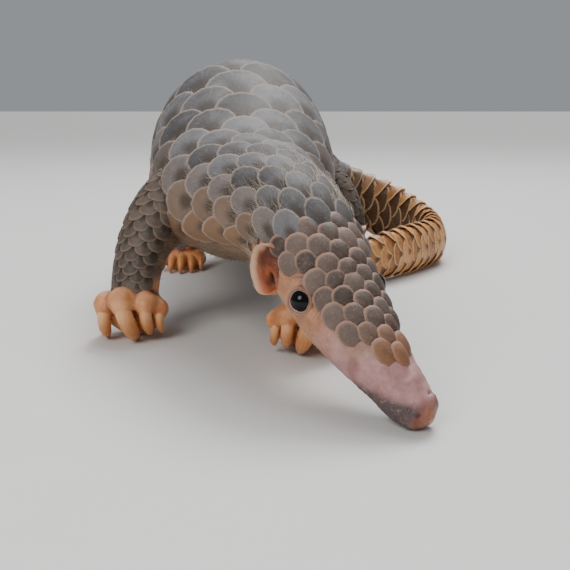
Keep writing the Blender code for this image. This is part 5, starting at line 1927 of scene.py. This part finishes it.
def lay_crown_scales(tree, plate, material):
    """Small brown scales of the crown, fewer in a row towards the snout."""
    half, rows = HEAD_LATTICE
    along = SPINE.rows_between(FIRST_SCALE, CROWN_END, rows, 0.01, 0.0)
    made = lay_coat(
        tree, "head_scales", SPINE, along, line_through(HEAD_SPREAD), (-half, 2 * half + 1, rows),
        (plate, plate), material, turn=head_turn, last_tip=float(rows), front_columns=1.52, front_slope=0.23,
        half_width=0.73, reach=1.22, rise=0.0012, thickness=0.0014, place_jitter=0.06, size_jitter=0.10,
        lift_jitter=0.30, seed=3,
    )


def lay_tail_scales(tree, plate, edge_plate, material):
    """Scales all round the tail, painted dark as shade where they face the ground, with pointed ones along
    both its edges.
    """
    around, rows = TAIL_LATTICE
    along = SPINE.rows_between(ROOT_AT, SPINE.length, rows, 0.0035, 0.33)
    made = lay_coat(
        tree, "tail_scales", SPINE, along, lambda s: 4 / around, (0, around, rows), (plate, edge_plate),
        material, last_tip=rows - 0.4, edge_column=2.0, edge_period=4.0, half_width=1.02, edge_width=1.0,
        edge_reach=1.42, rise=0.0013, edge_rise=0.0016, thickness=0.0010, seed=7,
    )
    mark_shaded_underside(made, around / 2)


def lay_leg_scales(tree, plate, material):
    """Slim dark scales down the outer side of each leg."""
    half, rows = LEG_LATTICE
    for number, (kind, side, stations, facing, _) in enumerate(LIMBS):
        leg = Tube(stations, up=facing, move=MOVE)
        along = leg.rows_between(0, leg.length, rows, 0.004, 0.30)
        made = lay_coat(
            tree, f"{kind}leg_scales_{side}", leg, along, lambda s: LEG_SPREAD, (-half, 2 * half + 1, rows),
            (plate, plate), material, last_tip=rows - 0.4, half_width=0.96, reach=1.5, rise=0.0014,
            thickness=0.0011, size_jitter=0.08, seed=30 + number,
        )


def set_eyes():
    """Both eyeballs, each in the moist edge of its lids."""
    eye, rim = eye_finish(), lid_finish()
    for side, word in ((-1, "right"), (1, "left")):
        ball = make_eye(side, f"eyeball_{word}")
        ball.data.materials.append(eye)
        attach(ball, "root")
        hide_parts(f"eye_{word}")
        ring = make_lid_edge(side, f"lid_edge_{word}")
        ring.data.materials.append(rim)
        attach(ring, "root")


def dress():
    """All pieces of the animal, from the skin outwards."""
    plates = plate_group()
    # In each finish below, `root` is the colour of painted shadow and dust at the plates' roots, `rim` that
    # of pale worn edges which also paint a highlight, and the tail's `under` is painted shade.
    back = horn_finish(
        # The faint cool blue of these greys is a painted reflection of the sky on grey-brown horn.
        "back scales", plates, (0.050, 0.046, 0.048), (0.172, 0.168, 0.176), rim=(0.40, 0.310, 0.250),
        root=(0.048, 0.034, 0.025), edge=(0.20, 0.110, 0.058), flank=((0.24, 0.145, 0.088), 11.0, 2.4, 5.2),
        rim_width=0.075, softness=0.055, rim_and_highlight_share=0.58, root_shade_share=0.85, streaks=44.0, rough=(0.60, 0.80),
        bump_by=0.00028,
    )
    crown = horn_finish(
        "head scales", plates, (0.046, 0.033, 0.028), (0.165, 0.122, 0.102), rim=(0.40, 0.240, 0.172),
        root=(0.11, 0.068, 0.046), warm=((0.235, 0.104, 0.052), 2.6), rim_width=0.17, softness=0.15,
        rim_and_highlight_share=0.90, root_shade_share=0.35, rough=(0.50, 0.70), bump_by=0.00040, dusty=0.55,
    )
    amber = horn_finish(
        "tail scales", plates, (0.34, 0.130, 0.040), (0.72, 0.350, 0.125), rim=(0.80, 0.52, 0.28),
        root=(0.080, 0.028, 0.010), under=(0.060, 0.032, 0.018), warm=((0.120, 0.092, 0.078), 4.5),
        rim_width=0.12, softness=0.08, rim_and_highlight_share=0.7, rough=(0.38, 0.56),
    )
    dark = horn_finish(
        "leg scales", plates, (0.058, 0.044, 0.035), (0.130, 0.098, 0.078), rim=(0.23, 0.160, 0.115),
        root=(0.030, 0.021, 0.015), rim_width=0.14, softness=0.10, rim_and_highlight_share=0.6,
    )
    skin = lay_skin()

    coat = coat_tree()
    broad = plate_form("broad plate", point=0.10, dome=0.75)
    pointed = plate_form("pointed plate", point=0.9, keel=0.6, dome=0.5)
    rounded = plate_form("round plate", dome=1.0, middle=0.52)
    slim = plate_form("slim plate", point=0.30, keel=0.20, dome=0.7)
    trunk_along = SPINE.rows_between(CROWN_END, ROOT_AT, TRUNK_LATTICE[1], -0.0036, 0.67)
    trunk_spread = line_through(TRUNK_SPREAD)
    lay_back_scales(coat, broad, pointed, back, trunk_along, trunk_spread)
    lay_crown_scales(coat, rounded, crown)
    lay_tail_scales(coat, slim, pointed, amber)
    lay_leg_scales(coat, slim, dark)
    for form in (broad, pointed, rounded, slim):
        discard(form)

    set_eyes()
    horn = claw_finish()
    for kind, side, stations, _, inner in LIMBS:
        make_claws(kind, side, stations, inner, horn)

    hair = hair_tree()
    down = hair_finish("pale down", (0.55, 0.36, 0.22), (0.80, 0.64, 0.48))
    lay_face_down(hair, skin, down)
    tan = hair_finish("tan hair", (0.22, 0.145, 0.085), (0.46, 0.33, 0.21))
    lay_belly_hair(hair, skin, tan)
    pale = hair_finish("pale bristle", (0.40, 0.32, 0.23), (0.70, 0.61, 0.50))
    lay_bristles(hair, trunk_along, trunk_spread, pale)


# Studio

FLOOR_REACH = 60.0

# Soft lights: name, place, size, power and tint. They point at the middle of the animal's height.
LIGHTS = (
    ("sky", (0.15, 0.55, 1.4), 1.3, 16.0, (0.95, 0.975, 1.0)),
    ("front", (-0.6, -1.0, 0.9), 0.8, 11.0, (1.0, 0.97, 0.93)),
)
LIT_SPOT = (0.0, 0.0, 0.06)

# The photograph's view: the camera's height, then, in the picture's pixels, the distance to the picture
# plane, how far the horizon lies above the picture's middle, and the picture's width.
CAMERA_HEIGHT = 0.115
CAMERA_FOCUS = 770.0
HORIZON_RISE = 175.0
PICTURE_WIDTH = 570.0


def add_lamp(name, kind, **settings):
    """A lamp of a kind, as a new object."""
    light = bpy.data.lights.new(name, kind)
    for key, value in settings.items():
        setattr(light, key, value)
    return new_object(name, light)


def set_stage():
    """A pale floor and soft lights."""
    corners = [(x * FLOOR_REACH, y * FLOOR_REACH, 0.0) for x, y in ((-1, -1), (1, -1), (1, 1), (-1, 1))]
    floor = new_object("floor", mesh_of("floor", corners, [(0, 1, 2, 3)]))
    floor.data.materials.append(floor_finish())
    world = bpy.data.worlds.new("studio")
    world.use_nodes = True
    world.node_tree.nodes["Background"].inputs[0].default_value = (0.86, 0.90, 0.96, 1)
    world.node_tree.nodes["Background"].inputs[1].default_value = 0.34
    bpy.context.scene.world = world
    for name, place, size, power, tint in LIGHTS:
        lamp = add_lamp(name, "AREA", shape="DISK", size=size, energy=power, color=tint)
        lamp.location = place
        lamp.rotation_euler = (Vector(LIT_SPOT) - Vector(place)).to_track_quat("-Z", "Y").to_euler()
    sun = add_lamp("daylight", "SUN", energy=2.2, angle=math.radians(22), color=(1.0, 0.985, 0.96))
    sun.rotation_euler = (math.radians(-38), math.radians(14), 0.0)


def set_camera():
    """A camera at the photograph's height and tilt."""
    data = bpy.data.cameras.new("view")
    data.sensor_width = 36.0
    data.lens = CAMERA_FOCUS / PICTURE_WIDTH * data.sensor_width
    data.clip_start = 0.01
    camera = new_object("view", data)
    camera.location = (MOVE[0], MOVE[1], MOVE[2] + CAMERA_HEIGHT)
    camera.rotation_euler = (math.pi / 2 - math.atan2(HORIZON_RISE, CAMERA_FOCUS), 0.0, 0.0)
    bpy.context.scene.camera = camera


set_camera()
set_stage()
dress()
